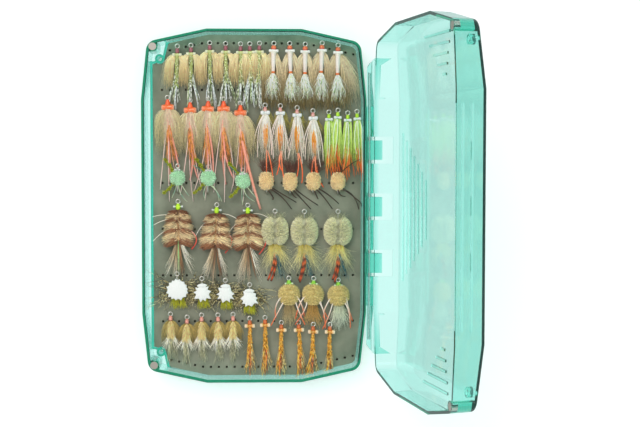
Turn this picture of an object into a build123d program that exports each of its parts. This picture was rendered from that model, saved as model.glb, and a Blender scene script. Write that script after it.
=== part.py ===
from build123d import *
import os
from math import cos, radians, sin, tan

# Fly box of clear teal polycarbonate: a foam-lined base, a hinged lid held shut by corner magnets,
# and 56 flies hooked into the foam. Millimetres, Z up. The origin is on the table, under the middle
# of the base. The lid is drawn closed and then swung open about the hinge pin.

# ---- driving dimensions ----
BOX_LENGTH = 187.0        # along Y
BOX_WIDTH = 118.5         # along X, without the hinge
BASE_HEIGHT = 20.0
LID_DEPTH = 14.5          # at the middle of the lid
LID_END_DEPTH = 11.4      # at the two ends, where the lid's face slopes down
PARTING_GAP = 0.2         # between the two rims when shut
WALL = 1.6
FLOOR = 1.6
DRAFT = 1.2               # degrees on every side wall
END_FLAT = 50.0           # straight middle of each short side
SIDE_FLAT = 112.6         # straight middle of each long side
CORNER_BACK_X = 3.2       # how far the corners stand in from the long sides
CORNER_BACK_Y = 6.9       # and from the short sides
CORNER_RADIUS = 6.0
EDGE_RADIUS = 1.8         # outer edge of floor and lid face

OPEN_ANGLE = 103.0        # where the lid rests on the knuckles
PIN_RADIUS = 0.6
PIN_COVER = 2.6           # closed end of the barrel past the pin
PIN_CLEARANCE = 0.05      # radial, in every bore on the pin
PIN_OUT = 1.8             # pin centre outside the base wall
PIN_DOWN = 1.7            # pin centre below the rim
BARREL_RADIUS = 1.5
BARREL_IN = 20.1          # the lid's barrel ends this far inside the box's ends
FLANGE_SLANT = 4.8        # and its flange runs on this much further at the lid's rim
GUSSET_RISE = 8.5         # end gussets of the flange, up the lid's wall
GUSSET_FOOT = 5.5
WEB_ROOT = 3.0            # flange's web: how far it reaches into the lid's wall
WEB_RISE = 2.8
WEB_ANGLES = (168, 56)    # where its two sides meet the barrel
KNUCKLE_PITCH = 30.0
KNUCKLE_LENGTH = 10.3
KNUCKLE_REACH = 6.65      # how far the knuckles pass the pin
KNUCKLE_SLOT = 14.2       # gap in the lid's barrel round each knuckle
KNUCKLE_COUNT = 3
KNUCKLE_DROP = 8.5        # knuckles leave the wall this far under the rim
KNUCKLE_LIFT = 1.5        # rise of their underside below the pin
KNUCKLE_TIP = 2.6         # thickness of their tip
KNUCKLE_SEAT = 0.6        # where the lid's pocket first lands, above the lid's rim
POCKET_DEPTH = 0.5        # seat in the lid wall that lands on each knuckle
POCKET_RISE = 10.4
STOP_GAP = 0.1
LEDGE_HALF = 53.0         # shelf on the base under the barrel
LEDGE_REACH = 3.4
LEDGE_THICK = 1.4
LEDGE_GAP = 0.4           # under the barrel
FIN_Y = 57.4              # small fins on the lid's hinge wall
FIN_RISE = 5.8
FIN_THICK = 0.8
FIN_PROUD = 0.4

MAGNET_RADIUS = 2.0
MAGNET_THICK = 3.0
MAGNET_FIT = 0.05
MAGNET_IN = (6.1, 9.4)    # magnet's centre inside the free side and the end
COLUMN_SIDE = 2.7         # corner column past the magnet's centre
COLUMN_ROUND = 2.6

LANYARD_IN = (8.95, 15.1) # lanyard holes through base and lid, inside the free side and the end
LANYARD_BORE = 1.3
LANYARD_TUBE = 2.4
LANYARD_RISE = 1.2        # tube above the foam, and inside the lid

FOAM_THICK = 8.4
FOAM_IN = 5.25            # foam's edge inside the free side
FOAM_GAP = 0.25           # foam to the other walls
FOAM_TUBE_GAP = 0.4       # foam to the lanyard tubes
BAY_SIDE = (7.35, 1.9)    # corners of the foam's bay round each magnet column, from the magnet
BAY_END = (12.15, 5.9)
RIB_WALL = 1.2
RIB_GAP = 0.3
RIB_BELOW = 0.4           # rib stops this far under the foam's face
RIB_REACH = 21.0          # rib runs this far in along the ends
SLIT_ROW_PITCH = 24.8
SLIT_ROWS = 8
SLIT_PITCH = 4.25
SLIT_COLUMNS = 25
SLIT_SIDE = 1.15
SLIT_DEPTH = 6.0
SLIT_EDGE = 4.6           # end rows stay this far inside the foam

RIB_PROUD = 0.8           # grip ribs on the lid's face
LONG_RIB_WIDTH = 0.8
LONG_RIB_IN = 7.25        # first of the ribs along the hinge side, inside that side
LONG_RIB_PITCH = 5.83
LONG_RIB_HALF = 39.0
LONG_RIB_STEP = 4.0
LONG_RIB_COUNT = 7
SHORT_RIB_WIDTH = 1.2
SHORT_RIB_IN = 8.2        # first of the ribs at each end, inside the end
SHORT_RIB_PITCH = 4.87
SHORT_RIB_SPANS = ((-21.0, 12.8), (-19.3, 7.2), (-16.5, 2.9), (-14.9, -2.5), (-12.4, -7.9))
GRIP_DEPTH = 0.4          # finger grooves in the lid's free wall
GRIP_WIDTH = 1.6
GRIP_HALF = 50.0
GRIP_RISES = (2.9, 7.4)

WIRE = 0.7                # hook wire
EYE_RADIUS = 1.45
EYE_HOLE = 0.75
GAPE = 6.0
POINT_LENGTH = 3.4
BEND_STEPS = 3            # straight stretches round the bend
PAD_CORNER = 0.55         # cut corners of the crabs' pads, as a part of their half width
SHANK_RISE = 3.2          # hook shank above the foam

# ---- worked out from them ----
HALF_L = BOX_LENGTH / 2
HALF_W = BOX_WIDTH / 2
RIM_Z = BASE_HEIGHT
LID_Z = BASE_HEIGHT + PARTING_GAP
FLANGE_END = HALF_L - BARREL_IN + FLANGE_SLANT
BARREL_END = HALF_L - BARREL_IN
PIN_LENGTH = 2 * (BARREL_END - PIN_COVER)
PIN_X = HALF_W + PIN_OUT
PIN_Z = BASE_HEIGHT - PIN_DOWN
BORE_RADIUS = PIN_RADIUS + PIN_CLEARANCE
FOAM_TOP = FLOOR + FOAM_THICK
SHANK_Z = FOAM_TOP + SHANK_RISE
HINGE_AXIS = Axis((PIN_X, 0, PIN_Z), (0, 1, 0))
MAGNET_X, MAGNET_Y = MAGNET_IN[0] - HALF_W, HALF_L - MAGNET_IN[1]
LANYARD_X, LANYARD_Y = LANYARD_IN[0] - HALF_W, HALF_L - LANYARD_IN[1]
POCKET_RADIUS = MAGNET_RADIUS + MAGNET_FIT
FOAM_LEFT = FOAM_IN - HALF_W
OVER = 5.0                # how far a cutting shape passes what it cuts
DRAWN_TRAY = (57.65, 91.9)                        # half sizes of the tray that the flies are drawn for
SPREAD_X = (HALF_W - WALL) / DRAWN_TRAY[0]        # flies keep their gaps in a tray of another size
SPREAD_Y = (HALF_L - WALL) / DRAWN_TRAY[1]


def corner_points():
    """The twelve corners of the plan outline, before its four outer corners are rounded."""
    end, side = END_FLAT / 2, SIDE_FLAT / 2
    cx, cy = HALF_W - CORNER_BACK_X, HALF_L - CORNER_BACK_Y
    quarter = [(HALF_W, side), (cx, cy), (end, HALF_L)]
    left = [(-x, y) for x, y in reversed(quarter)]
    top = quarter + left
    return top + [(-x, -y) for x, y in top]


def outline(inset=0.0):
    """Plan face of the box, `inset` inside its outer edge."""
    face = make_face(Polyline(*corner_points(), close=True))
    cx, cy = HALF_W - CORNER_BACK_X, HALF_L - CORNER_BACK_Y
    corners = [v for v in face.vertices() if abs(abs(v.X) - cx) < 0.01 and abs(abs(v.Y) - cy) < 0.01]
    face = fillet(corners, CORNER_RADIUS)
    return offset(face, amount=-inset, kind=Kind.INTERSECTION) if inset else face


def block(x0, x1, y0, y1, z0, z1):
    """Box between two corners."""
    return Pos((x0 + x1) / 2, (y0 + y1) / 2, (z0 + z1) / 2) * Box(x1 - x0, y1 - y0, z1 - z0)


def rod(x, y, z0, z1, radius):
    """Upright cylinder."""
    return Pos(x, y, (z0 + z1) / 2) * Cylinder(radius, z1 - z0)


def along_y(x, z, y0, y1, radius):
    """Cylinder along Y."""
    return Pos(x, (y0 + y1) / 2, z) * Rot(90, 0, 0) * Cylinder(radius, y1 - y0)


def profile_xz(points, y0, y1):
    """Prism along Y from a profile of (x, z) points."""
    face = make_face(Polyline(*[(x, y0, z) for x, z in points], close=True))
    return extrude(face, y1 - y0, dir=(0, 1, 0))


def profile_yz(points, x0, x1):
    """Prism along X from a profile of (y, z) points."""
    face = make_face(Polyline(*[(x0, y, z) for y, z in points], close=True))
    return extrude(face, x1 - x0, dir=(1, 0, 0))


def foam_face():
    """Plan of the foam: the inside of the base, cut back along the free side and round each tube."""
    inset = WALL + FOAM_GAP + (BASE_HEIGHT - FLOOR) * tan(radians(DRAFT))
    face = outline(inset) & (Pos(FOAM_LEFT + HALF_W, 0) * Rectangle(BOX_WIDTH, BOX_LENGTH))
    notch = LANYARD_TUBE + FOAM_TUBE_GAP
    low = LANYARD_Y - notch
    bay = [
        (-HALF_W, low), (LANYARD_X - notch, low), (LANYARD_X + notch, LANYARD_Y),
        (MAGNET_X + BAY_SIDE[0], MAGNET_Y + BAY_SIDE[1]), (MAGNET_X + BAY_END[0], MAGNET_Y + BAY_END[1]),
        (MAGNET_X + BAY_END[0], HALF_L), (-HALF_W, HALF_L),
    ]
    for side in (1, -1):
        face -= make_face(Polyline(*[(x, side * y) for x, y in bay], close=True))
        face -= Pos(LANYARD_X, side * LANYARD_Y) * Circle(notch)
    return face.face()


def slit_places():
    """Where the foam is punched: rows across the box, with the two end rows bent to the outline."""
    places = []
    slope = CORNER_BACK_Y / (HALF_W - CORNER_BACK_X - END_FLAT / 2)
    middle_x = (FOAM_LEFT + HALF_W - WALL) / 2
    for row in range(SLIT_ROWS):
        y = (row - (SLIT_ROWS - 1) / 2) * SLIT_ROW_PITCH
        for column in range(SLIT_COLUMNS):
            x = middle_x + (column - (SLIT_COLUMNS - 1) / 2) * SLIT_PITCH
            edge = HALF_L - max(0.0, abs(x) - END_FLAT / 2) * slope - WALL - SLIT_EDGE
            places.append((x, max(-edge, min(edge, y))))
    return places


def foam_insert():
    """Foam sheet with rows of punched slits that hold the hooks."""
    face = foam_face()
    inside = offset(face, amount=-1.0, kind=Kind.INTERSECTION).face()
    places = [(x, y) for x, y in slit_places() if inside.is_inside(Vector(x, y, 0))]
    holes = [Pos(x, y) * Rectangle(SLIT_SIDE, SLIT_SIDE) for x, y in places]
    punched = make_face(face.outer_wire().edges()) - holes
    lower = extrude(face, FOAM_THICK - SLIT_DEPTH)
    upper = Pos(0, 0, FOAM_THICK - SLIT_DEPTH) * extrude(punched, SLIT_DEPTH)
    return Pos(0, 0, FLOOR) * (lower + upper)


def base_block(inset, z_low):
    """Solid of the base from its rim down to z_low, `inset` inside the outer wall."""
    return Pos(0, 0, RIM_Z) * Rot(180, 0, 0) * extrude(outline(inset), RIM_Z - z_low, taper=DRAFT)


def base_outside():
    solid = base_block(0, 0)
    return fillet(solid.faces().sort_by(Axis.Z)[0].edges(), EDGE_RADIUS)


def corner_column(side, z0, z1):
    """Column in a free corner that carries a magnet."""
    x1, y0 = MAGNET_X + COLUMN_SIDE, MAGNET_Y - COLUMN_SIDE
    face = Pos((x1 - HALF_W) / 2, side * (y0 + HALF_L) / 2) * Rectangle(x1 + HALF_W, HALF_L - y0)
    inner = [v for v in face.vertices() if abs(v.X - x1) < 0.01 and abs(abs(v.Y) - y0) < 0.01]
    return Pos(0, 0, z0) * extrude(fillet(inner, COLUMN_ROUND), z1 - z0)


def foam_rib():
    """Low rib on the floor that keeps the foam off the front wall and runs round each tube."""
    face = foam_face()
    outer, inner = (offset(face, amount=gap, kind=Kind.INTERSECTION) for gap in (RIB_GAP + RIB_WALL, RIB_GAP))
    ring = (outer - inner) & Pos(-HALF_W, 0) * Rectangle(2 * RIB_REACH, BOX_LENGTH)
    return Pos(0, 0, FLOOR) * extrude(ring, FOAM_THICK - RIB_BELOW)


def knuckle_places():
    return [(i - (KNUCKLE_COUNT - 1) / 2) * KNUCKLE_PITCH for i in range(KNUCKLE_COUNT)]


def open_seat(rise):
    """(x, z) at rest of a point on the floor of the lid's pockets, `rise` above its rim."""
    dx, dz = HALF_W - POCKET_DEPTH - PIN_X, LID_Z + rise - PIN_Z
    turn = radians(OPEN_ANGLE)
    return PIN_X + cos(turn) * dx + sin(turn) * dz, PIN_Z - sin(turn) * dx + cos(turn) * dz


def knuckle(y):
    """Solid hinge knuckle of the base. Its sloping top is the stop that the open lid lands on."""
    low_x, low_z = open_seat(KNUCKLE_SEAT)
    high_x, high_z = open_seat(POCKET_RISE)
    slope = (high_z - low_z) / (high_x - low_x)
    tip_x = PIN_X + KNUCKLE_REACH
    tip_z = low_z + slope * (tip_x - low_x) - STOP_GAP
    foot = RIM_Z - KNUCKLE_DROP
    points = [
        (HALF_W - WALL, foot), (HALF_W, foot), (PIN_X + KNUCKLE_LIFT, foot + KNUCKLE_LIFT),
        (tip_x, tip_z - KNUCKLE_TIP), (tip_x, tip_z), (low_x, min(RIM_Z, low_z - STOP_GAP)),
        (HALF_W - WALL / 2, RIM_Z),
    ]
    return profile_xz(points, y - KNUCKLE_LENGTH / 2, y + KNUCKLE_LENGTH / 2)


def hinge_ledge():
    """Shelf on the base that runs under the lid's barrel and ties the knuckles together."""
    top = PIN_Z - BARREL_RADIUS - LEDGE_GAP
    points = [
        (HALF_W - WALL, top), (HALF_W + LEDGE_REACH, top), (HALF_W + LEDGE_REACH, top - LEDGE_THICK),
        (HALF_W - WALL, top - LEDGE_THICK - LEDGE_REACH),
    ]
    return profile_xz(points, -LEDGE_HALF, LEDGE_HALF)


def base_shell():
    """Moulded base: tray, magnet columns, lanyard tubes, foam rib and hinge knuckles in one piece."""
    outside = base_outside()
    inner = base_block(WALL, FLOOR)
    fittings = foam_rib()
    for side in (1, -1):
        fittings += corner_column(side, FLOOR / 2, RIM_Z)
        fittings += rod(LANYARD_X, side * LANYARD_Y, FLOOR / 2, FOAM_TOP + LANYARD_RISE, LANYARD_TUBE)
    shell = (outside - inner) + (fittings & outside)
    hinge = hinge_ledge()
    for y in knuckle_places():
        hinge += knuckle(y)
    shell += hinge - inner
    for side in (1, -1):
        shell -= rod(MAGNET_X, side * MAGNET_Y, RIM_Z - MAGNET_THICK, RIM_Z + OVER, POCKET_RADIUS)
        shell -= rod(LANYARD_X, side * LANYARD_Y, -OVER, FOAM_TOP + OVER, LANYARD_BORE)
    return shell - along_y(PIN_X, PIN_Z, -LEDGE_HALF, LEDGE_HALF, BORE_RADIUS)


def lid_roof(drop, z_low):
    """Prism with the lid's long section: level in the middle, sloping down to both ends."""
    half = SIDE_FLAT / 2
    reach = HALF_L + OVER
    fall = (LID_DEPTH - LID_END_DEPTH) * (reach - half) / (HALF_L - half)
    top, end = LID_Z + LID_DEPTH - drop, LID_Z + LID_DEPTH - drop - fall
    points = [(-reach, z_low), (-reach, end), (-half, top), (half, top), (reach, end), (reach, z_low)]
    return profile_yz(points, -HALF_W - OVER, HALF_W + OVER)


def lid_block(inset, drop):
    """Solid of the closed lid from its rim up, `inset` inside its wall and `drop` under its face."""
    walls = extrude(Pos(0, 0, LID_Z) * outline(inset), LID_DEPTH + OVER, dir=(0, 0, 1), taper=DRAFT)
    return walls & lid_roof(drop, LID_Z)


def face_edges(solid):
    """Edges where the lid's faces meet its walls."""
    tops = [f for f in solid.faces() if f.normal_at().Z > 0.9]
    found = []
    for face in tops:
        for edge in face.edges():
            along_x = abs(edge.tangent_at(0.5).X) > 0.99
            ridge = along_x and abs(abs(edge.center().Y) - SIDE_FLAT / 2) < 0.1
            if not ridge:
                found.append(edge)
    return found


def lid_outside():
    solid = lid_block(0, 0)
    return fillet(face_edges(solid), EDGE_RADIUS)


def grip_ribs():
    """Raised ribs on the lid's face: long ones beside the hinge and five short ones at each end."""
    z0, z1 = LID_Z + LID_END_DEPTH - 2 * WALL, LID_Z + LID_DEPTH + OVER
    ribs = []
    for i in range(LONG_RIB_COUNT):
        x, half = HALF_W - LONG_RIB_IN - i * LONG_RIB_PITCH, LONG_RIB_HALF - i * LONG_RIB_STEP
        ribs.append(block(x - LONG_RIB_WIDTH / 2, x + LONG_RIB_WIDTH / 2, -half, half, z0, z1))
    for side in (1, -1):
        for i, (x0, x1) in enumerate(SHORT_RIB_SPANS):
            y = side * (HALF_L - SHORT_RIB_IN - i * SHORT_RIB_PITCH)
            ribs.append(block(x0, x1, y - SHORT_RIB_WIDTH / 2, y + SHORT_RIB_WIDTH / 2, z0, z1))
    return Part() + ribs


def barrel_spans():
    """Stretches of the lid's barrel between the knuckles, as (y0, y1)."""
    half = KNUCKLE_SLOT / 2
    places = knuckle_places()
    starts = [-FLANGE_END] + [y + half for y in places]
    ends = [y - half for y in places] + [FLANGE_END]
    return list(zip(starts, ends))


def hinge_flange():
    """The lid's barrel with the web that joins it to the rim, cut away round the knuckles."""
    near, far = (
        (PIN_X + BARREL_RADIUS * cos(radians(a)), PIN_Z + BARREL_RADIUS * sin(radians(a))) for a in WEB_ANGLES
    )
    top = LID_Z + WEB_RISE
    lean = WEB_RISE * tan(radians(DRAFT))
    web = [
        (HALF_W - WEB_ROOT, LID_Z), (HALF_W - WEB_ROOT, top), (HALF_W - lean, top),
        far, near, (near[0], LID_Z),
    ]
    half = [(BARREL_END, PIN_Z - BARREL_RADIUS), (FLANGE_END, LID_Z), (FLANGE_END, top + OVER)]
    ends = half + [(-y, z) for y, z in reversed(half)]
    flange = Part()
    for y0, y1 in barrel_spans():
        flange += along_y(PIN_X, PIN_Z, y0, y1, BARREL_RADIUS) + profile_xz(web, y0, y1)
    flange &= profile_yz(ends, HALF_W - OVER, PIN_X + OVER)
    for side in (1, -1):
        end, foot = side * FLANGE_END, side * (FLANGE_END - GUSSET_FOOT)
        gusset = [(end, LID_Z), (end, LID_Z + GUSSET_RISE), (foot, LID_Z)]
        flange += profile_yz(gusset, HALF_W - WEB_ROOT - WALL, HALF_W)
    bore = PIN_LENGTH / 2 + PIN_CLEARANCE
    return flange - along_y(PIN_X, PIN_Z, -bore, bore, BORE_RADIUS)


def lid_shell_closed():
    """Moulded lid, drawn shut: shell, ribs, magnet columns, lanyard rings and hinge barrel."""
    outside, inner = lid_outside(), lid_block(WALL, WALL)
    proud = extrude(Pos(0, 0, LID_Z) * outline(WALL), LID_DEPTH + OVER, dir=(0, 0, 1))
    proud &= lid_roof(-RIB_PROUD, LID_Z)
    shell = outside - inner + (grip_ribs() & proud) - inner
    fittings = Part()
    ring_z = LID_Z + LID_END_DEPTH - WALL - LANYARD_RISE
    for side in (1, -1):
        fittings += corner_column(side, LID_Z, LID_Z + LID_DEPTH)
        fittings += rod(LANYARD_X, side * LANYARD_Y, ring_z, LID_Z + LID_DEPTH, LANYARD_TUBE)
    shell += fittings & outside
    shell += hinge_flange() - inner
    for side in (1, -1):
        y0, y1 = side * FIN_Y - FIN_THICK / 2, side * FIN_Y + FIN_THICK / 2
        shell += block(HALF_W - WALL / 2, HALF_W + FIN_PROUD, y0, y1, LID_Z, LID_Z + FIN_RISE)
        shell -= rod(MAGNET_X, side * MAGNET_Y, LID_Z - OVER, LID_Z + MAGNET_THICK, POCKET_RADIUS)
        shell -= rod(LANYARD_X, side * LANYARD_Y, LID_Z, LID_Z + LID_DEPTH + OVER, LANYARD_BORE)
    for y in knuckle_places():
        y0, y1 = y - KNUCKLE_SLOT / 2, y + KNUCKLE_SLOT / 2
        shell -= block(HALF_W - POCKET_DEPTH, HALF_W + OVER, y0, y1, LID_Z - OVER, LID_Z + POCKET_RISE)
    for rise in GRIP_RISES:
        lean = rise * tan(radians(DRAFT))
        x, z = -HALF_W + lean, LID_Z + rise
        vee = [(x, z - GRIP_WIDTH / 2), (x + GRIP_DEPTH, z), (x, z + GRIP_WIDTH / 2), (x - OVER, z)]
        shell -= profile_xz(vee, -GRIP_HALF, GRIP_HALF)
    return shell


def opened(part):
    """Swings a piece of the closed lid to where it rests open."""
    return part.rotate(HINGE_AXIS, OPEN_ANGLE)


def hinge_pin():
    return along_y(PIN_X, PIN_Z, -PIN_LENGTH / 2, PIN_LENGTH / 2, PIN_RADIUS)


def base_magnet(side):
    return rod(MAGNET_X, side * MAGNET_Y, RIM_Z - MAGNET_THICK, RIM_Z, MAGNET_RADIUS)


def lid_magnet(side):
    return opened(rod(MAGNET_X, side * MAGNET_Y, LID_Z, LID_Z + MAGNET_THICK, MAGNET_RADIUS))


def hook(x, y, shank):
    """Fly hook with its eye at (x, y), its shank towards -Y and its point down in the foam."""
    x, y, shank = x * SPREAD_X, y * SPREAD_Y, shank * SPREAD_Y
    half, bend, middle = WIRE / 2, y - shank, SHANK_Z - GAPE / 2
    turns = [i * 180 / BEND_STEPS for i in range(BEND_STEPS + 1)]
    outer, inner = (
        [(bend - r * sin(radians(a)), middle + r * cos(radians(a))) for a in turns]
        for r in (GAPE / 2 + half, GAPE / 2 - half)
    )
    front = y - EYE_RADIUS + half
    point = (bend + POINT_LENGTH, middle - GAPE / 2 + half / 2)
    side = [(front, SHANK_Z + half), *outer, point, *reversed(inner), (front, SHANK_Z - half)]
    wire = profile_yz(side, x - half, x + half)
    ring = RegularPolygon(EYE_RADIUS, 6) - RegularPolygon(EYE_HOLE, 6)
    return Pos(x, y, SHANK_Z - half) * extrude(ring, WIRE) + wire


def skin(rings):
    """Solid with flat facets through a run of closed rings that have as many points each."""
    count = len(rings[0])
    faces = [make_face(Polyline(*rings[0], close=True)), make_face(Polyline(*rings[-1], close=True))]
    for near, far in zip(rings, rings[1:]):
        for i in range(count):
            j = (i + 1) % count
            faces.append(make_face(Polyline(near[i], near[j], far[j], close=True)))
            faces.append(make_face(Polyline(near[i], far[j], far[i], close=True)))
    solid = Solid(Shell(faces))
    return solid if solid.volume > 0 else Solid(solid.wrapped.Reversed())


def spindle(x, y, sections):
    """Dressing of a slim fly: six-sided sections (step back from the eye, width, height)."""
    rings = []
    for back, width, height in sections:
        w, h = SPREAD_X * width / 2, height / 2
        around = [(-w, 0), (-w / 2, h), (w / 2, h), (w, 0), (w / 2, -h), (-w / 2, -h)]
        rings.append([(x * SPREAD_X + dx, (y - back) * SPREAD_Y, SHANK_Z + dz) for dx, dz in around])
    return skin(rings)


def shell_body(x, y, width, length, height):
    """Dressing of a crab: an eight-sided pad, widest at the hook's shank."""
    rings = []
    for rise, part in ((-height / 2, 0.74), (0, 1.0), (height / 2, 0.7)):
        w, l = SPREAD_X * part * width / 2, SPREAD_Y * part * length / 2
        cut = PAD_CORNER * min(w, l)
        around = [
            (-w, -l + cut), (-w, l - cut), (-w + cut, l), (w - cut, l),
            (w, l - cut), (w, -l + cut), (w - cut, -l), (-w + cut, -l),
        ]
        rings.append([(x * SPREAD_X + dx, y * SPREAD_Y + dy, SHANK_Z + rise) for dx, dy in around])
    return skin(rings)


# Each pattern: hook shank, eye places, and the shape behind each eye.
SLIM = {
    "tan_shrimp": (
        20.5,
        ((-40.7, 84.8), (-33.5, 85.3), (-23.6, 86.6), (-15.2, 86.3), (-7.3, 86.1), (-2.4, 86.2), (2.8, 86.5)),
        ((2.2, 2.2, 2.2), (4.5, 4.2, 3.6), (20.0, 4.6, 4.6), (26.5, 3.2, 3.0)),
    ),
    "pearl_shrimp": (
        20.5,
        ((10.4, 86.5), (18.8, 86.5), (27.0, 86.1), (36.0, 86.8), (44.5, 85.7)),
        ((2.2, 2.2, 2.2), (5.0, 4.6, 3.8), (15.5, 3.6, 3.4), (27.0, 7.4, 4.4)),
    ),
    "pink_leg_shrimp": (
        20.0,
        ((-46.0, 57.7), (-34.1, 56.2), (-24.4, 56.9), (-16.3, 56.9), (-7.5, 54.8)),
        ((2.2, 2.4, 2.4), (6.0, 6.4, 4.2), (22.0, 7.6, 5.0), (31.0, 4.4, 3.2)),
    ),
    "white_wing_shrimp": (
        18.0,
        ((5.7, 53.8), (13.8, 53.5), (22.7, 52.5), (31.1, 50.9)),
        ((2.2, 2.2, 2.4), (6.0, 4.4, 3.8), (20.0, 7.2, 4.6), (27.5, 4.6, 3.2)),
    ),
    "chartreuse_shrimp": (
        17.5,
        ((39.6, 50.2), (44.5, 51.2), (49.7, 49.8), (54.6, 50.5)),
        ((2.2, 2.2, 2.4), (5.0, 3.2, 3.4), (18.0, 4.2, 4.4), (26.0, 3.2, 3.0)),
    ),
    "striped_crab": (
        17.5,
        ((-40.7, 2.7), (-20.1, 0.8), (-3.6, 0.6)),
        ((2.2, 3.0, 3.0), (5.0, 5.6, 4.0), (22.0, 13.8, 4.6), (34.0, 9.0, 2.8)),
    ),
    "small_shrimp": (
        14.0,
        ((-45.0, -57.6), (-36.1, -59.3), (-28.4, -58.2), (-19.7, -58.2), (-11.6, -57.9)),
        ((2.0, 2.2, 2.2), (4.5, 5.0, 3.6), (12.0, 4.4, 3.4), (19.0, 5.6, 2.8)),
    ),
    "gold_shrimp": (
        20.0,
        ((-2.7, -60.1), (5.5, -59.7), (14.3, -62.4), (23.5, -62.4), (31.4, -63.4), (40.4, -63.5)),
        ((2.0, 2.2, 2.2), (5.0, 4.4, 3.4), (14.0, 3.8, 3.6), (24.0, 4.6, 3.0)),
    ),
}
# Each pattern: hook shank, pad height, then (eye x, eye y, pad width, pad length, its middle behind the eye).
PADS = {
    "mint_crab": (
        11.5, 4.0,
        ((-40.8, 21.5, 8.4, 8.8, 6.1), (-24.4, 21.0, 8.4, 8.8, 5.7), (-6.4, 19.3, 8.4, 8.8, 5.5)),
    ),
    "tan_crab": (
        10.5, 4.2,
        ((6.1, 20.0, 8.0, 9.8, 6.4), (19.1, 19.6, 8.0, 9.8, 6.4), (31.7, 19.8, 8.0, 9.8, 6.4),
         (44.8, 19.8, 8.0, 9.8, 6.4)),
    ),
    "wool_crab": (
        16.5, 6.0,
        ((10.9, -2.6, 14.8, 16.6, 10.6), (26.6, -2.8, 14.8, 16.6, 10.6), (44.6, -2.8, 15.6, 16.6, 10.6)),
    ),
    "white_back_crab": (
        13.0, 4.6,
        ((-41.4, -36.1, 12.6, 10.8, 8.2), (-28.2, -38.6, 9.2, 8.8, 6.8), (-15.7, -39.6, 9.2, 9.0, 6.2),
         (-2.7, -42.0, 9.4, 9.0, 6.4)),
    ),
    "round_crab": (
        13.5, 5.2,
        ((18.3, -38.5, 11.8, 11.8, 8.8), (31.6, -38.7, 11.8, 11.8, 8.6), (44.8, -39.6, 11.8, 11.8, 8.2)),
    ),
}


def fly_nodes():
    """Hooks and dressings of every pattern, as {node name: solids}."""
    nodes = {}
    for name, (shank, eyes, sections) in SLIM.items():
        nodes[name + "_hooks"] = [hook(x, y, shank) for x, y in eyes]
        nodes[name + "_dressings"] = [spindle(x, y, sections) for x, y in eyes]
    for name, (shank, height, flies) in PADS.items():
        nodes[name + "_hooks"] = [hook(x, y, shank) for x, y, *_ in flies]
        nodes[name + "_dressings"] = [
            shell_body(x, y - back, width, length, height) for x, y, width, length, back in flies
        ]
    return nodes


def all_nodes():
    nodes = {
        "base_shell": [base_shell()],
        "foam_insert": [foam_insert()],
        "base_magnet_rear": [base_magnet(1)],
        "base_magnet_front": [base_magnet(-1)],
        "lid_shell": [opened(lid_shell_closed())],
        "lid_magnet_rear": [lid_magnet(1)],
        "lid_magnet_front": [lid_magnet(-1)],
        "hinge_pin": [hinge_pin()],
    }
    nodes.update(fly_nodes())
    return nodes


os.makedirs("parts", exist_ok=True)
for node, pieces in all_nodes().items():
    solids = [solid for piece in pieces for solid in piece.solids()]
    export_step(Compound(children=solids, label=node), f"parts/{node}.step")
    print(node, len(solids), "solids")
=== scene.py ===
import math
import bmesh
import bpy
import numpy as np
from mathutils import Matrix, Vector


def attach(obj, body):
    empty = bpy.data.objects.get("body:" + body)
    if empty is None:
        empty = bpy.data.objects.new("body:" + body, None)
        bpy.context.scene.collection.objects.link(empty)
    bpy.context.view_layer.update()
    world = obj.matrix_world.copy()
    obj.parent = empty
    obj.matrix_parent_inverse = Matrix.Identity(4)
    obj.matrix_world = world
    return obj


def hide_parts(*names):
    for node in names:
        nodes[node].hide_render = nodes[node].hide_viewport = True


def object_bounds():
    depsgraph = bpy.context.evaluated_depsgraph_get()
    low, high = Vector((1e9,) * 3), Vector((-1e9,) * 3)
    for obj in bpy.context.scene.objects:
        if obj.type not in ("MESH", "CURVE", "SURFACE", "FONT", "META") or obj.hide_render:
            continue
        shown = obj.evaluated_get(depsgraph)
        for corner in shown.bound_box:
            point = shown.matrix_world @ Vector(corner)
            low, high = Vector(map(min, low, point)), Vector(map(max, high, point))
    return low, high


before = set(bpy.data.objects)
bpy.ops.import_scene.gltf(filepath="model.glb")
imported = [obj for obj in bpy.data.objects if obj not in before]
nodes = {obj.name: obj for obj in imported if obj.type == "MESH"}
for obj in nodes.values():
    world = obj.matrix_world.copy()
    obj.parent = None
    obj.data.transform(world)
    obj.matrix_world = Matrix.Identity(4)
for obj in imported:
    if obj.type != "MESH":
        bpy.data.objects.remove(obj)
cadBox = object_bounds()
milli = 0.001  # metres in a millimetre
chance = np.random.default_rng(20)


def linearColor(hexCode, alpha=1.0):  # "#RRGGBB" is sRGB; the shaders want linear
    channels = [int(hexCode[i:i + 2], 16) / 255 for i in (1, 3, 5)]
    return tuple(c / 12.92 if c <= 0.04045 else ((c + 0.055) / 1.055) ** 2.4 for c in channels) + (alpha,)


# camera, floor and light

cameraSet = {
    "place": (12.654, 27.025, 654.453),  # mm, over the box and a little to the lid's side
    "tilt": (0.04814, 0.03472, -0.00103),  # radians about X, Y and Z
    "lens": 67.557, "sensor": 36.0,  # mm
    "clip": (0.01, 20),  # metres
}
stageSet = {
    "floor": "#E9ECEC", "floorReach": 2.5,  # metres each way
    "floorLift": 0.32,  # glow that takes the paper to white where it is seen directly
    "paperBehind": 1.05,  # the paper as it is seen through the clear plastic
    "world": "#FFFFFF", "worldLevel": 0.62,
    "glossyShare": 0.3,  # how much of the white surround shows in reflections
    "sunLevel": 1.45, "sunSpread": 40, "sunLean": 0.7,
    "suns": (("sunKey", 0.8, (0.45, 0.75)), ("sunFill", 0.2, (-0.6, -0.5))),  # name, share of the level, lean
}

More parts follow.
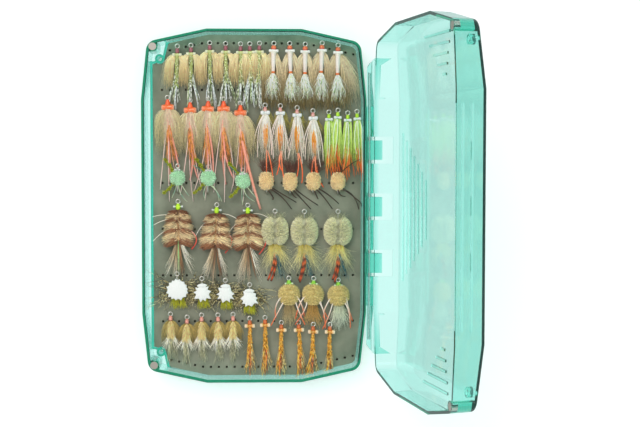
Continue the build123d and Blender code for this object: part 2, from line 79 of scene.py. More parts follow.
view = bpy.data.cameras.new("camera")
view.lens, view.sensor_width = cameraSet["lens"], cameraSet["sensor"]
view.clip_start, view.clip_end = cameraSet["clip"]
camera = bpy.data.objects.new("camera", view)
bpy.context.scene.collection.objects.link(camera)
rx, ry, rz = cameraSet["tilt"]
turn = Matrix.Rotation(rx, 3, "X") @ Matrix.Rotation(ry, 3, "Y") @ Matrix.Rotation(rz, 3, "Z")
camera.matrix_world = Matrix.Translation([v * milli for v in cameraSet["place"]]) @ turn.transposed().to_4x4()
bpy.context.scene.camera = camera
bpy.context.scene.view_settings.view_transform = "Standard"


def addNode(tree, kind, settings=None, links=None):
    # settings: attribute or socket (name or index) to value; links: socket (name or index) to (node, output)
    made = tree.nodes.new(kind)
    for key, value in (settings or {}).items():
        if isinstance(key, int) or key in made.inputs:
            made.inputs[key].default_value = value
        else:
            setattr(made, key, value)
    for key, (source, output) in (links or {}).items():
        tree.links.new(source.outputs[output], made.inputs[key])
    return made


def newMaterial(name):  # an empty node tree, filled by whoever asked for it
    made = bpy.data.materials.new(name)
    made.use_nodes = True
    made.node_tree.nodes.clear()
    return made, made.node_tree


def setRamp(ramp, steps):  # steps: (place, hex)
    line = ramp.color_ramp
    while len(line.elements) < len(steps):
        line.elements.new(1.0)
    for element, (place, hexCode) in zip(line.elements, steps):
        element.position, element.color = place, linearColor(hexCode)


def seenDirectly(tree):  # 1 where the camera sees a thing, straight or through plastic: max of the two rays
    rays = addNode(tree, "ShaderNodeLightPath")
    seen = addNode(tree, "ShaderNodeMath", {"operation": "MAXIMUM"},
                   {0: (rays, "Is Camera Ray"), 1: (rays, "Is Transmission Ray")})
    return rays, seen


world = bpy.data.worlds.new("world")
bpy.context.scene.world = world
world.use_nodes = True
world.node_tree.nodes.clear()
rays, seen = seenDirectly(world.node_tree)
glossy = addNode(world.node_tree, "ShaderNodeMath", {"operation": "MULTIPLY", 1: stageSet["glossyShare"]},
                 {0: (rays, "Is Glossy Ray")})
seen = addNode(world.node_tree, "ShaderNodeMath", {"operation": "MAXIMUM"}, {0: (seen, 0), 1: (glossy, 0)})
plain = addNode(world.node_tree, "ShaderNodeBackground",
                {"Color": linearColor(stageSet["world"]), "Strength": stageSet["worldLevel"]})
white = addNode(world.node_tree, "ShaderNodeBackground", {"Color": (1, 1, 1, 1), "Strength": 1.0})
both = addNode(world.node_tree, "ShaderNodeMixShader", {}, {0: (seen, 0), 1: (plain, 0), 2: (white, 0)})
addNode(world.node_tree, "ShaderNodeOutputWorld", {}, {0: (both, 0)})

for name, level, lean in stageSet["suns"]:
    lamp = bpy.data.lights.new(name, "SUN")
    lamp.energy = stageSet["sunLevel"] * level
    lamp.angle = math.radians(stageSet["sunSpread"])
    sun = bpy.data.objects.new(name, lamp)
    sun.rotation_euler = (-lean[1] * stageSet["sunLean"], -lean[0] * stageSet["sunLean"], 0)
    bpy.context.scene.collection.objects.link(sun)

floorMesh = bpy.data.meshes.new("floor")
reach, low = stageSet["floorReach"], cadBox[0].z
floorMesh.from_pydata([(-reach, -reach, low), (reach, -reach, low), (reach, reach, low), (-reach, reach, low)],
                      [], [(0, 1, 2, 3)])
floor = bpy.data.objects.new("floor", floorMesh)
bpy.context.scene.collection.objects.link(floor)
paper, tree = newMaterial("whitePaperSweep")  # matt white paper: shows the shadow, lifted to white where it is seen
rays, seen = seenDirectly(tree)
lift = addNode(tree, "ShaderNodeMath", {"operation": "MULTIPLY", 1: stageSet["floorLift"]}, {0: (seen, 0)})
matt = addNode(tree, "ShaderNodeBsdfPrincipled",
               {"Base Color": linearColor(stageSet["floor"]), "Roughness": 0.9, "Specular IOR Level": 0.0,
                "Emission Color": (1, 1, 1, 1)}, {"Emission Strength": (lift, 0)})
lit = addNode(tree, "ShaderNodeEmission", {"Color": (1, 1, 1, 1), "Strength": stageSet["paperBehind"]})
both = addNode(tree, "ShaderNodeMixShader", {}, {0: (rays, "Is Transmission Ray"), 1: (matt, 0), 2: (lit, 0)})
addNode(tree, "ShaderNodeOutputMaterial", {}, {0: (both, 0)})
floorMesh.materials.append(paper)
print("stage ready")


# clear shells, magnets, pin and foam

shellSet = {
    "surface": "#FFFFFF", "roughness": 0.06, "shadow": "#D2F2EA",
    "bend": 1.46,  # index of refraction, a little under polycarbonate's 1.58, so that the rims pass more light
    "clear": (0.02, 0.78, 0.665), "density": 325.0,  # a 2 mm wall passes (0.53, 0.87, 0.80) of the light
    # glow is painted light: a faint teal emission on the plastic that stands for the light the dye scatters back
    "paintedGlow": (0.03, 0.92, 0.86), "paintedGlowLevel": 0.02,
    "ripple": 9.0, "rippleDepth": 0.2, "rippleLevel": 0.12,  # mm between the flow marks, and how they show
}


def clearPlastic(name, settings):
    # injection-moulded polycarbonate: light passed = exp(-depth * density * (1 - clear)); the dye takes out red
    # first, so thick edges go deep teal; glow is painted light, a faint teal emission that stands for the light that
    # the dye scatters back
    made, tree = newMaterial(name)
    rays = addNode(tree, "ShaderNodeLightPath")
    place = addNode(tree, "ShaderNodeTexCoord")
    ripple = addNode(tree, "ShaderNodeTexNoise", {"Scale": 1 / (settings["ripple"] * milli), "Detail": 1.0},
                     {"Vector": (place, "Object")})
    relief = addNode(tree, "ShaderNodeBump",
                     {"Strength": settings["rippleLevel"], "Distance": settings["rippleDepth"] * milli},
                     {"Height": (ripple, 0)})
    body = addNode(tree, "ShaderNodeBsdfPrincipled",
                   {"Base Color": linearColor(settings["surface"]), "Roughness": settings["roughness"],
                    "IOR": settings["bend"], "Transmission Weight": 1.0, "Emission Color": (*settings["paintedGlow"], 1.0),
                    "Emission Strength": settings["paintedGlowLevel"]}, {"Normal": (relief, 0)})
    through = addNode(tree, "ShaderNodeBsdfTransparent", {"Color": linearColor(settings["shadow"])})
    both = addNode(tree, "ShaderNodeMixShader", {}, {0: (rays, "Is Shadow Ray"), 1: (body, 0), 2: (through, 0)})
    inside = addNode(tree, "ShaderNodeVolumeAbsorption",
                     {"Color": (*settings["clear"], 1.0), "Density": settings["density"]})
    addNode(tree, "ShaderNodeOutputMaterial", {}, {"Surface": (both, 0), "Volume": (inside, 0)})
    return made


def mergedCopy(node, name):  # the CAD mesh with its corners merged, so that light bends through a closed solid
    bm = bmesh.new()
    bm.from_mesh(nodes[node].data)
    bmesh.ops.remove_doubles(bm, verts=bm.verts, dist=1e-6)
    mesh = bpy.data.meshes.new(name)
    bm.to_mesh(mesh)
    bm.free()
    made = bpy.data.objects.new(name, mesh)
    bpy.context.scene.collection.objects.link(made)
    return made


polycarbonate = clearPlastic("tealPolycarbonate", shellSet)
for node, name, body in (("base_shell", "baseTub", "base"), ("lid_shell", "lidCover", "lid")):
    shell = mergedCopy(node, name)
    shell.data.materials.append(polycarbonate)
    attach(shell, body)
    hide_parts(node)

# each metal: colour, roughness, and mm between the marks of its grain
metalSet = {
    "magnet": ("nickelPlatedMagnet", "#B0AAA0", 0.34, 0.4),  # plated sintered disc: pale and softly bright
    "pin": ("groundStainlessPin", "#BFC4C2", 0.25, 0.3),  # ground wire: bright, with fine marks
    "hook": ("tinnedHookWire", "#C9C6BC", 0.28, 0.3),  # drawn wire dipped in tin: bright and a little warm
    "streak": (0.7, 1.4),  # the grain takes the roughness to these shares of it
    "relief": 0.15, "reliefDepth": 0.02,  # mm
}


def brushedMetal(name, tone, roughness, grain):
    # roughness runs from streak[0] to streak[1] times its value with noise of one grain's size, which also lifts it
    made, tree = newMaterial(name)
    place = addNode(tree, "ShaderNodeTexCoord")
    grit = addNode(tree, "ShaderNodeTexNoise", {"Scale": 1 / (grain * milli), "Detail": 3.0},
                   {"Vector": (place, "Object")})
    smooth, rough = metalSet["streak"]
    spread = addNode(tree, "ShaderNodeMapRange", {"To Min": roughness * smooth, "To Max": roughness * rough},
                     {0: (grit, 0)})
    relief = addNode(tree, "ShaderNodeBump",
                     {"Strength": metalSet["relief"], "Distance": metalSet["reliefDepth"] * milli},
                     {"Height": (grit, 0)})
    body = addNode(tree, "ShaderNodeBsdfPrincipled", {"Base Color": linearColor(tone), "Metallic": 1.0},
                   {"Roughness": (spread, 0), "Normal": (relief, 0)})
    addNode(tree, "ShaderNodeOutputMaterial", {}, {0: (body, 0)})
    return made


nickel, pinSteel, hookSteel = (brushedMetal(*metalSet[kind]) for kind in ("magnet", "pin", "hook"))
for node in nodes:
    if "magnet" in node or node == "hinge_pin":
        nodes[node].data.materials.clear()
        nodes[node].data.materials.append(nickel if "magnet" in node else pinSteel)

foamSet = {
    "low": "#757A69", "high": "#999A87", "roughness": 0.85, "shine": 0.2,
    "cloud": 14, "cell": 0.35,  # mm across the mottling and across one cell
    "cellDepth": 0.1, "cellLevel": 0.35,
}
eva, tree = newMaterial("closedCellEvaFoam")  # skived EVA sheet: matt, fine cells, faint mottling
place = addNode(tree, "ShaderNodeTexCoord")
cloud = addNode(tree, "ShaderNodeTexNoise", {"Scale": 1 / (foamSet["cloud"] * milli), "Detail": 4.0},
                {"Vector": (place, "Object")})
cells = addNode(tree, "ShaderNodeTexVoronoi", {"Scale": 1 / (foamSet["cell"] * milli)}, {"Vector": (place, "Object")})
tone = addNode(tree, "ShaderNodeValToRGB", {}, {0: (cloud, 0)})
setRamp(tone, [(0.3, foamSet["low"]), (0.7, foamSet["high"])])
relief = addNode(tree, "ShaderNodeBump", {"Strength": foamSet["cellLevel"], "Distance": foamSet["cellDepth"] * milli},
                 {"Height": (cells, "Distance")})
body = addNode(tree, "ShaderNodeBsdfPrincipled",
               {"Roughness": foamSet["roughness"], "Specular IOR Level": foamSet["shine"]},
               {"Base Color": (tone, 0), "Normal": (relief, 0)})
addNode(tree, "ShaderNodeOutputMaterial", {}, {0: (body, 0)})
nodes["foam_insert"].data.materials.clear()
nodes["foam_insert"].data.materials.append(eva)
print("shells, metal and foam ready")


# fibres, wraps and wire: everything on a fly is a tube carried along a path

# inner face of the tray's wall, one quarter of the plan in mm; a fibre that reaches it lies along it
traySet = {"clear": 0.35, "corners": [(57.5, 0), (57.5, 56.3), (54.4, 85.2), (24.6, 91.8), (0, 91.8)]}
flySet = {"shankHeight": 13.2, "yaw": 0.05}  # mm over the box's foot; radians either way
fibreSet = {
    "girth": (0.7, 1.3), "crinkled": (0.7, 1.2),  # each fibre's thickness, as shares of its bunch's
    "looseness": (0.2, 0.35, 0.45),  # scatter of a tuft at its root, middle and tip
    "tuftTaper": 0.72, "bristleTaper": 0.6, "flat": 0.6,
}

trayCorners = np.array(traySet["corners"])
trayRuns = np.diff(trayCorners, axis=0)
trayNormals = np.stack([trayRuns[:, 1], -trayRuns[:, 0]], -1) / np.hypot(*trayRuns.T)[:, None]
trayReaches = (trayNormals * trayCorners[:-1]).sum(1) - traySet["clear"]
bundles = {}  # (pattern, kind) to the tubes gathered for that piece


class Bundle:  # gathers tubes for one piece: corners, faces, a tint per corner and (random, along) as UV
    def __init__(self):
        self.points, self.faces, self.tints, self.along, self.total = [], [], [], [], 0

    def add(self, points, faces, tints, along):
        self.points.append(points)
        self.faces += [face + self.total for face in faces]
        self.tints.append(tints)
        self.along.append(along)
        self.total += len(points)


def sweep(paths, radii, sides=3, flat=1.0, closed=False):
    # paths (n, rings, 3), radii (n, rings): ring point = path + radius * (cos a * across + flat * sin a * above)
    count, rings = radii.shape
    steep, tiny = 0.93, 1e-12  # a path that climbs more than steep takes a level direction as its upright
    ahead = np.roll(paths, -1, 1) - np.roll(paths, 1, 1)
    if not closed:
        ahead[:, 0], ahead[:, -1] = paths[:, 1] - paths[:, 0], paths[:, -1] - paths[:, -2]
    ahead /= np.linalg.norm(ahead, axis=2, keepdims=True) + tiny
    upright = np.abs(ahead[:, :, 2:3]) > steep
    across = np.cross(ahead, np.where(upright.any(1, keepdims=True), [0.6, 0.8, 0.0], [0.0, 0.0, 1.0]))
    across /= np.linalg.norm(across, axis=2, keepdims=True) + tiny
    above = np.cross(across, ahead)
    angle = np.arange(sides) * 2 * math.pi / sides
    ring = np.cos(angle)[:, None] * across[:, :, None] + flat * np.sin(angle)[:, None] * above[:, :, None]
    points = (paths[:, :, None] + radii[:, :, None, None] * ring).reshape(-1, 3)
    first = np.arange(count)[:, None, None] * rings * sides
    i, j = np.arange(rings if closed else rings - 1)[:, None], np.arange(sides)
    here, there = i * sides, (i + 1) % rings * sides
    corner = [here + j, there + j, there + (j + 1) % sides, here + (j + 1) % sides]
    faces = [(first[..., None] + np.stack(corner, -1)[None]).reshape(-1, 4)]
    if not closed:
        ends = np.stack([j, (rings - 1) * sides + j[::-1]])
        faces.append((first[:, 0] + ends.reshape(1, -1)).reshape(-1, sides))
    return points, faces


def insideTray(spot):  # p - n max(p.n - d, 0) for each wall of unit normal n at distance d
    plan = np.abs(spot[..., :2])
    for normal, reach in zip(trayNormals, trayReaches):
        plan = plan - np.maximum(plan @ normal - reach, 0)[..., None] * normal
    return np.concatenate([plan * np.sign(spot[..., :2]), spot[..., 2:]], -1)


def onFly(fly, across, behind, above):
    # mm in the box: the eye's place + (across, -behind) turned by yaw, and the shank's height + above
    cosine, sine = math.cos(fly["yaw"]), math.sin(fly["yaw"])
    return np.stack([fly["x"] + across * cosine + behind * sine, fly["y"] + across * sine - behind * cosine,
                     flySet["shankHeight"] + above], -1)


def bundleFor(fly, kind):  # the bundle of the fly's pattern and this kind of stuff, made when first asked for
    return bundles.setdefault((fly["pattern"], kind), Bundle())


def fibres(fly, kind, paths, radii, tints, sides=3, flat=1.0, closed=False):
    # paths are (across, behind the eye, above the shank) in mm; tints (n, rings, 3)
    count, rings = radii.shape
    spot = onFly(fly, paths[..., 0], paths[..., 1], paths[..., 2])
    points, faces = sweep(insideTray(spot), radii, sides, flat, closed)
    along = np.stack([np.repeat(chance.random(count), rings * sides),
                      np.tile(np.repeat(np.linspace(0, 1, rings), sides), count)], -1)
    bundleFor(fly, kind).add(points * milli, faces, np.repeat(tints.reshape(-1, 3), sides, 0), along)


def bent(a, b, c, u):  # curve from a to c that b pulls on: (1-u)^2 a + 2u(1-u) b + u^2 c
    return (1 - u) ** 2 * a + 2 * u * (1 - u) * b + u ** 2 * c


def straight(start, off, t):  # start + t off, for every fibre and every t
    return start[:, None] + t[None, :, None] * off[:, None]


def girths(count, span="girth"):  # a share of the bunch's thickness for each fibre
    return chance.uniform(*fibreSet[span], (count, 1))


def shades(colors, t, spread=0.12, pick=False):
    # colour at t (n, rings) along evenly spaced stops, each fibre lighter or darker by spread; with pick each fibre
    # starts at its own stop, so a bunch comes out mixed; with pick "flecks" every ring has a stop of its own
    stops = np.array([linearColor(c)[:3] for c in colors])
    if pick == "flecks":
        t = chance.integers(0, len(colors), t.shape) / (len(colors) - 1)
    elif pick:
        t = (t * pick + chance.random((len(t), 1))) % 1.0
    places = np.linspace(0, 1, len(colors))
    mixed = np.stack([np.interp(t, places, stops[:, k]) for k in range(3)], -1)
    return np.clip(mixed * np.exp(chance.normal(0, spread, (len(t), 1, 1))), 0, 1)


def tuft(fly, count, root, mid, tip, colors, thick=0.09, kind="hair", rings=5, both=False, ragged=0.12, spread=0.16,
         pick=False, wave=0.25, sides=3):
    # root, mid, tip: (across, behind, above, half width, half length, half height) of the three places a fibre
    # goes through: point = (1-t)^2 root + 2t(1-t) mid + t^2 tip
    spot = chance.uniform(-1, 1, (count, 3))
    side = np.where(chance.random(count) < 0.5, -1.0, 1.0) if both else np.ones(count)
    places = []
    for place, loose in zip((root, mid, tip), fibreSet["looseness"]):
        centre, half = np.array(place[:3], float), np.array(place[3:], float)
        places.append(centre + half * (spot + loose * chance.uniform(-1, 1, (count, 3))))
    places[2][:, 1] -= ragged * chance.random(count) ** 2 * (tip[1] - root[1])
    for place in places:
        place[:, 0] *= side
    t = np.linspace(0, 1, rings)[None, :]
    paths = bent(*(place[:, None] for place in places), t[..., None])
    paths[..., 0] += np.sin(t * 7 + spot[:, :1] * 9) * t * wave
    radii = thick * (1 - fibreSet["tuftTaper"] * t) * girths(count)
    fibres(fly, kind, paths, radii, shades(colors, np.repeat(t, count, 0), spread, pick), sides, fibreSet["flat"])


def turned(fly, kind, profile, colors, sides=12, flat=1.0, across=None, spread=0.03, ribs=0.0, pitch=0.6, lift=0.0):
    # profile (place, radius): turned along the shank, or across the fly at (behind, above) when across is given;
    # ribs is the depth of the thread's turns as a share of the radius: r (1 + ribs sin(2 pi place / pitch))
    profile = np.array(profile, float)
    steps = max(len(profile), int(abs(profile[-1, 0] - profile[0, 0]) / pitch * 3)) if ribs else len(profile)
    t, corners = np.linspace(0, 1, steps), np.linspace(0, 1, len(profile))
    place, radius = np.interp(t, corners, profile[:, 0]), np.interp(t, corners, profile[:, 1])
    radius = radius * (1 + ribs * np.sin(place * 2 * math.pi / pitch))
    paths = np.zeros((1, steps, 3))
    if across is None:
        paths[0, :, 1], paths[0, :, 2] = place, lift
    else:
        paths[0, :, 0], paths[0, :, 1], paths[0, :, 2] = place, across[0], across[1]
    fibres(fly, kind, paths, radius[None], shades(colors, t[None], spread), sides, flat)


def dumbbell(fly, behind, width, ball, waist, colors, above=0.9, bone=0.45):
    # two beads on a bar across the shank; bone is the bar's thickness as a share of the bead's
    half, reach = width / 2, ball * 0.95
    neck = half - reach * 0.85
    bar = min(waist * 0.6, neck - 0.05)
    outer = [half - 0.06 * ball, half - reach * 0.45, neck, bar]
    places = [-half] + [-half + 0.06 * ball, -half + reach * 0.45, -neck, -bar] + outer[::-1] + [half]
    shares = [0.4, 0.85, 1.0, 0.6 + bone * 0.35, bone]
    radii = [share * ball / 2 for share in shares + shares[::-1]]
    turned(fly, "eyes", np.array([places, radii]).T, colors, across=(behind, above))


def bristles(fly, count, along, reach, colors, lift=0.0, thick=0.09, lean=0.6, half=0.2, spread=0.2, pick=0.6):
    # chenille and hackle: fibres stand out from the shank between two places and lean back by lean (t + t^2 / 2)
    place = chance.uniform(along[0], along[1], count)
    angle = chance.uniform(0, 2 * math.pi, count)
    length = np.interp(place, np.linspace(along[0], along[1], len(reach)), reach) * chance.uniform(0.75, 1.1, count)
    start = np.stack([half * np.cos(angle), place, lift + half * np.sin(angle)], -1)
    out = np.stack([np.cos(angle), np.full(count, lean), np.sin(angle) * 0.8], -1)
    t = np.linspace(0, 1, 3)
    paths = straight(start, length[:, None] * out, t)
    paths[..., 1] += (t ** 2)[None] * lean * 0.5 * length[:, None]
    radii = thick * (1 - fibreSet["bristleTaper"] * t)[None] * girths(count)
    fibres(fly, "body", paths, radii, shades(colors, np.tile(t, (count, 1)), spread, pick))


def chenille(fly, spine, count, reach, colors, thick=0.16, lumps=2.6):
    # short fibres stand off all round a core p0(1-t)^2 + 2 p1 t(1-t) + p2 t^2, longer at each lump
    first, middle, last = np.array(spine, float)
    t = chance.uniform(0, 1, (count, 1))
    core = bent(first, middle, last, t)
    off = chance.normal(0, 1, (count, 3))
    off *= reach * (0.75 + 0.35 * np.sin(lumps * math.tau * t)) * chance.uniform(0.6, 1, (count, 1)) \
        / np.linalg.norm(off, axis=1, keepdims=True)
    along, taper = np.linspace(0, 1, 4), np.array([1, 1, 0.8, 0.45])
    paths = straight(core, off, along)
    fibres(fly, "body", paths, thick * taper[None] * girths(count, "crinkled"),
           shades(colors, np.tile(along, (count, 1)), 0.18, 0.3))


def legs(fly, paths, colors, thick=0.3, wander=0.5, sides=6, rings=12, taper=0.25):
    # rubber legs: each path is ((across, behind, above) x 3) and bends through its middle place at t = 1/2
    path = np.array(paths, float)
    path[:, 1:] += chance.uniform(-1, 1, path[:, 1:].shape) * [wander, wander, 0.15 * wander]
    t = np.linspace(0, 1, rings)[None, :]
    pull = 2 * path[:, 1] - (path[:, 0] + path[:, 2]) / 2
    line = bent(path[:, None, 0], pull[:, None], path[:, None, 2], t[..., None])
    radii = thick * (1 - taper * t) * np.ones((len(path), 1))
    fibres(fly, "legs", line, radii, shades(colors, np.repeat(t, len(path), 0), 0.05), sides, 0.8)


def pad(fly, centre, wide, long, high, colors, count, thick=0.12, lobes=0.0, power=2.2, bands=None, lift=0.0,
        teeth=0.0, arch=0.2):
    # trimmed fibre body: a core plus short fibres whose tips end on |x/w|^p + |s/l|^p + (h/z)^2 = 1; lobes draws
    # the middle in and deepens the painted shade down it, teeth nicks the edge, and the bands across it curve by arch
    def onSurface(phi, theta):  # phi round the plan, theta from rim (0) to top (pi/2)
        edge = (np.abs(np.cos(phi)) ** power + np.abs(np.sin(phi)) ** power) ** (-1 / power)
        edge = edge * (1 + teeth * np.cos(phi * 14))
        notch = 1 - lobes * np.exp(-(np.cos(phi) / 0.28) ** 2)
        ring = edge * notch * np.cos(theta)
        dip = 1 - lobes * 0.9 * np.exp(-(ring * np.cos(phi) / 0.2) ** 2)
        return np.stack([wide / 2 * ring * np.cos(phi), centre + long / 2 * ring * np.sin(phi),
                         lift + high / 2 * np.sin(theta) * dip], -1)
    rows, inner = 13, 0.42  # rings of the core, and its half size as a share of the body's size
    spine = np.linspace(-1, 1, rows)
    width = np.sqrt(np.maximum(1 - np.abs(spine) ** power, 0.02))
    core = np.zeros((1, rows, 3))
    core[0, :, 1], core[0, :, 2] = centre + spine * long * inner, lift
    tone = colors if bands is None else bands
    # painted shade: the core is drawn at 0.8 less lobes of its tone, standing for the shade inside the fibres and down
    # the groove between the lobes
    dark = shades(tone, np.linspace(0, 1, rows)[None], 0.0) * (0.8 - lobes)
    fibres(fly, "pad", core, (wide * inner * width * (1 - 0.4 * lobes))[None], dark, 16, high * 0.86 / wide * 0.98)
    phi, theta = chance.uniform(0, 2 * math.pi, count), np.arcsin(chance.uniform(-0.35, 1, count))
    tips = onSurface(phi, theta)
    roots = tips.copy()
    roots[:, 0] *= 0.72
    roots[:, 1] = centre + (tips[:, 1] - centre) * 0.8
    roots[:, 2] = lift + (tips[:, 2] - lift) * 0.55
    t = np.linspace(0, 1, 3)
    paths = straight(roots, tips - roots, t)
    paths[:, 1:] += chance.normal(0, 0.14, (count, 1, 3)) * [1, 1, 0.6]
    radii = thick * np.array([1.0, 0.9, 0.55])[None] * girths(count)
    if bands is None:
        along = np.tile(t, (count, 1))
    else:
        along = (paths[..., 1] - centre) / long + 0.5 - arch * (paths[..., 0] / wide) ** 2
        along = np.clip(along + chance.normal(0, 0.012, (count, 1)), 0, 1)
    tones = shades(tone, along, 0.17)
    # painted shade down the groove between the lobes: fibres near the middle line are darkened by up to lobes * 3
    grooveShade = np.exp(-((paths[..., 0] + 0.35 * np.sin(paths[..., 1] * 1.7)) / 0.8) ** 2)
    fibres(fly, "pad", paths, radii, tones * (1 - min(1.0, lobes * 3.0) * grooveShade)[..., None])


hookSet = {  # mm
    "ring": 1.1, "wire": 0.35, "gape": 6.0,
    "point": 3.4, "barb": 1.6,  # how far the point and the barb come back from the bend
    "tip": (0.8, 0.15),  # thickness at the barb and at the point, as shares of the wire's
}


def hookWire(fly, shank):
    # down-eye hook: ring, shank, half-round bend (sin a, cos a) gape / 2 and a tapered point that goes into the foam
    ring = np.linspace(0, 2 * math.pi, 17)[:-1]
    radius, wire = hookSet["ring"], hookSet["wire"]
    loop = np.stack([radius * np.cos(ring), radius * np.sin(ring), 0 * ring], -1)[None]
    steel = shades(["#FFFFFF"], np.zeros((1, 16)), 0.0)
    fibres(fly, "hooks", loop, np.full((1, 16), wire), steel, 8, 1.0, True)
    gape, bend = hookSet["gape"] / 2, np.linspace(0, math.pi, 10)
    behind = np.concatenate([[radius, shank * 0.5], shank + gape * np.sin(bend),
                             [shank - hookSet["barb"], shank - hookSet["point"]]])
    above = np.concatenate([[0, 0], gape * np.cos(bend) - gape, [-2 * gape + 0.05, -2 * gape + 0.3]])
    line = np.stack([0 * behind, behind, above], -1)[None]
    thin = np.full(len(behind), wire)
    thin[-2:] = [wire * share for share in hookSet["tip"]]
    fibres(fly, "hooks", line, thin[None], shades(["#FFFFFF"], np.zeros((1, len(behind))), 0.0), 8)


shellBackSet = {
    "color": "#F6F8F3", "sides": 96,
    "section": [(0.0, -1.0), (0.9, -1.0), (1.0, -0.6), (1.0, 0.6), (0.9, 1.0), (0.0, 1.1)],  # (out, up): a pillow
}


def foamBack(fly, centre, wide, long, thick, lift, notches, front=0.0, point=0.055):
    # cut foam shell: outline radius = 1 - 0.4 point + point * bump * (1 - |sin(notches phi / 2)|), so that small
    # points stand round it, drawn in at the front by front; the section above is carried round it
    sides = shellBackSet["sides"]
    phi = np.linspace(0, 2 * math.pi, sides + 1)[:-1]
    bump = np.repeat(chance.uniform(0.6, 1.3, sides // 6), 6)
    uneven = 0.5 * np.sin(phi * 3 + fly["index"] * 2)
    wave = 1 - point * 0.4 + point * bump * (1 - np.abs(np.sin(phi * notches / 2 + uneven)))
    rows = np.array(shellBackSet["section"])
    reach = rows[:, 0][:, None] * wave[None]
    across = wide / 2 * reach * np.cos(phi) * (1 - front * (0.5 - 0.5 * np.sin(phi)))
    behind = centre + long / 2 * reach * np.sin(phi)
    spot = onFly(fly, across, behind, lift + thick / 2 * rows[:, 1][:, None] + 0 * across)
    grid = np.arange(len(rows) * sides).reshape(len(rows), sides)
    corner = [grid[:-1], np.roll(grid, -1, 1)[:-1], np.roll(grid, -1, 1)[1:], grid[1:]]
    walls = np.stack(corner, -1).reshape(-1, 4)[:, ::-1]
    tints = np.tile(np.array(linearColor(shellBackSet["color"])[:3]), (reach.size, 1))
    along = np.stack([reach.ravel(), (0 * reach + phi / 7).ravel()], -1)
    bundleFor(fly, "back").add(spot.reshape(-1, 3) * milli, [walls], tints, along)


# the flies: places are (across, behind the eye, above the shank) in mm, and a tuft's three places add the half
# width, half length and half height of the bunch there

tanShrimpSet = {
    "head": ["#8E5450", "#A8606A", "#8C4E4A"],
    "eyes": ["#F3F0DC", "#E9E6C2", "#D3D98E", "#D3D98E", "#E9E6C2", "#F3F0DC"],
    "body": ["#B5BB6E", "#A9B268", "#9CA860"],
    "speckle": ["#F4F5E2", "#A9BA62", "#52663A", "#D8E2A0", "#8FA24E", "#EEF2CC"], "hackles": 170,
    "fur": ["#E8CF96", "#FCECBC", "#F7E1AC", "#E2CB90"], "furCount": 300,
    "wing": ["#CDBB8E", "#E6D6AC", "#C9BE92"], "wingCount": 110,
    "tails": [["#FBFDF6", "#7E8F62", "#F1F6E6", "#4C5C40", "#FBFDF6"],
              ["#D9E4B8", "#5E7444", "#F3F6DE", "#93A862", "#39482C"],
              ["#FFFFFF", "#DDE6E4", "#9AA7A0", "#F4F8F6", "#C9D4CF"]],
    "tailLengths": (29, 37),
}


def tanShrimp(fly):  # speckled body, a fur wing down each side, and four or five barred tails fanned by lean
    own = tanShrimpSet
    turned(fly, "thread", [(1.0, 0.7), (1.8, 1.0), (3.0, 1.05), (3.9, 0.9)], own["head"], ribs=0.05)
    dumbbell(fly, 4.6, 5.0, 1.9, 1.6, own["eyes"], above=1.1, bone=0.8)
    turned(fly, "thread", [(3.9, 0.9), (6, 0.95), (14, 0.9), (19.5, 0.7)], own["body"], lift=0.7)
    bristles(fly, own["hackles"], (4.8, 20.5), (0.85, 1.05, 1.0, 1.4), own["speckle"], lift=1.0, lean=0.8, thick=0.26,
             pick="flecks", spread=0.1)
    tuft(fly, own["furCount"], (0.6, 5.0, 0.2, 0.3, 0.4, 0.6), (4.6, 5.6, 1.0, 1.9, 1.4, 1.2),
         (4.3, 18.6, 0.2, 2.3, 3.4, 1.6), own["fur"], both=True, thick=0.17, ragged=0.25, wave=0.45)
    tuft(fly, own["wingCount"], (1.0, 6, 0.0, 0.6, 1.0, 0.6), (4.6, 8, 0.4, 2.6, 2.6, 1.2),
         (5.4, 21, -0.4, 3.2, 3.4, 1.6), own["wing"], both=True, thick=0.09, ragged=0.4, wave=0.8)
    lengths = chance.uniform(*own["tailLengths"], 5)
    for k in range(5 if fly["index"] % 2 else 4):
        lean = (k - 1.8) * 1.5 + chance.uniform(-0.9, 0.9)
        tuft(fly, 6, (lean * 0.2, 15.5, 0.8, 0.25, 0.8, 0.3), (lean * 0.6, 22, 0.7, 0.3, 1.0, 0.3),
             (lean * 1.25, lengths[k], -0.4, 0.4, 1.6, 0.3), own["tails"][(k + fly["index"]) % 3],
             thick=0.4, kind="flash", spread=0.06, pick="flecks", rings=22, wave=0.35, ragged=0.25)


pearlShrimpSet = {
    "head": ["#D9603C", "#EE7A44", "#D85E60"], "eyes": ["#F9F8F2", "#F1EFE6", "#F1EFE6", "#F9F8F2"],
    "body": ["#EDE9DA", "#F3E7DA", "#F1E9DF", "#EBD9CC"], "butt": ["#F07A3A", "#F58A48"],
    # flash is the tinsel's own ivory with painted glints: white and green flecks stand for its pearly sparkle
    "flash": ["#FFFFFF", "#F6FAE6", "#C4DE9C", "#FFFFF8", "#8FB478", "#F8F6E0", "#DCCB88"], "flashCount": 60,
    "pale": ["#F8FAEE", "#FDFFF4", "#E8F0D2"], "paleCount": 90,
    "fur": ["#D2BF93", "#ECDDB8", "#E0CDA4", "#BDA97C", "#A8946A"], "furCount": 260,
    "dark": ["#A38A58", "#8E7848", "#6A6438"], "darkCount": 190,
    "loose": ["#DCCBA2", "#EDE0BE", "#DACDA8"], "looseCount": 200,
}


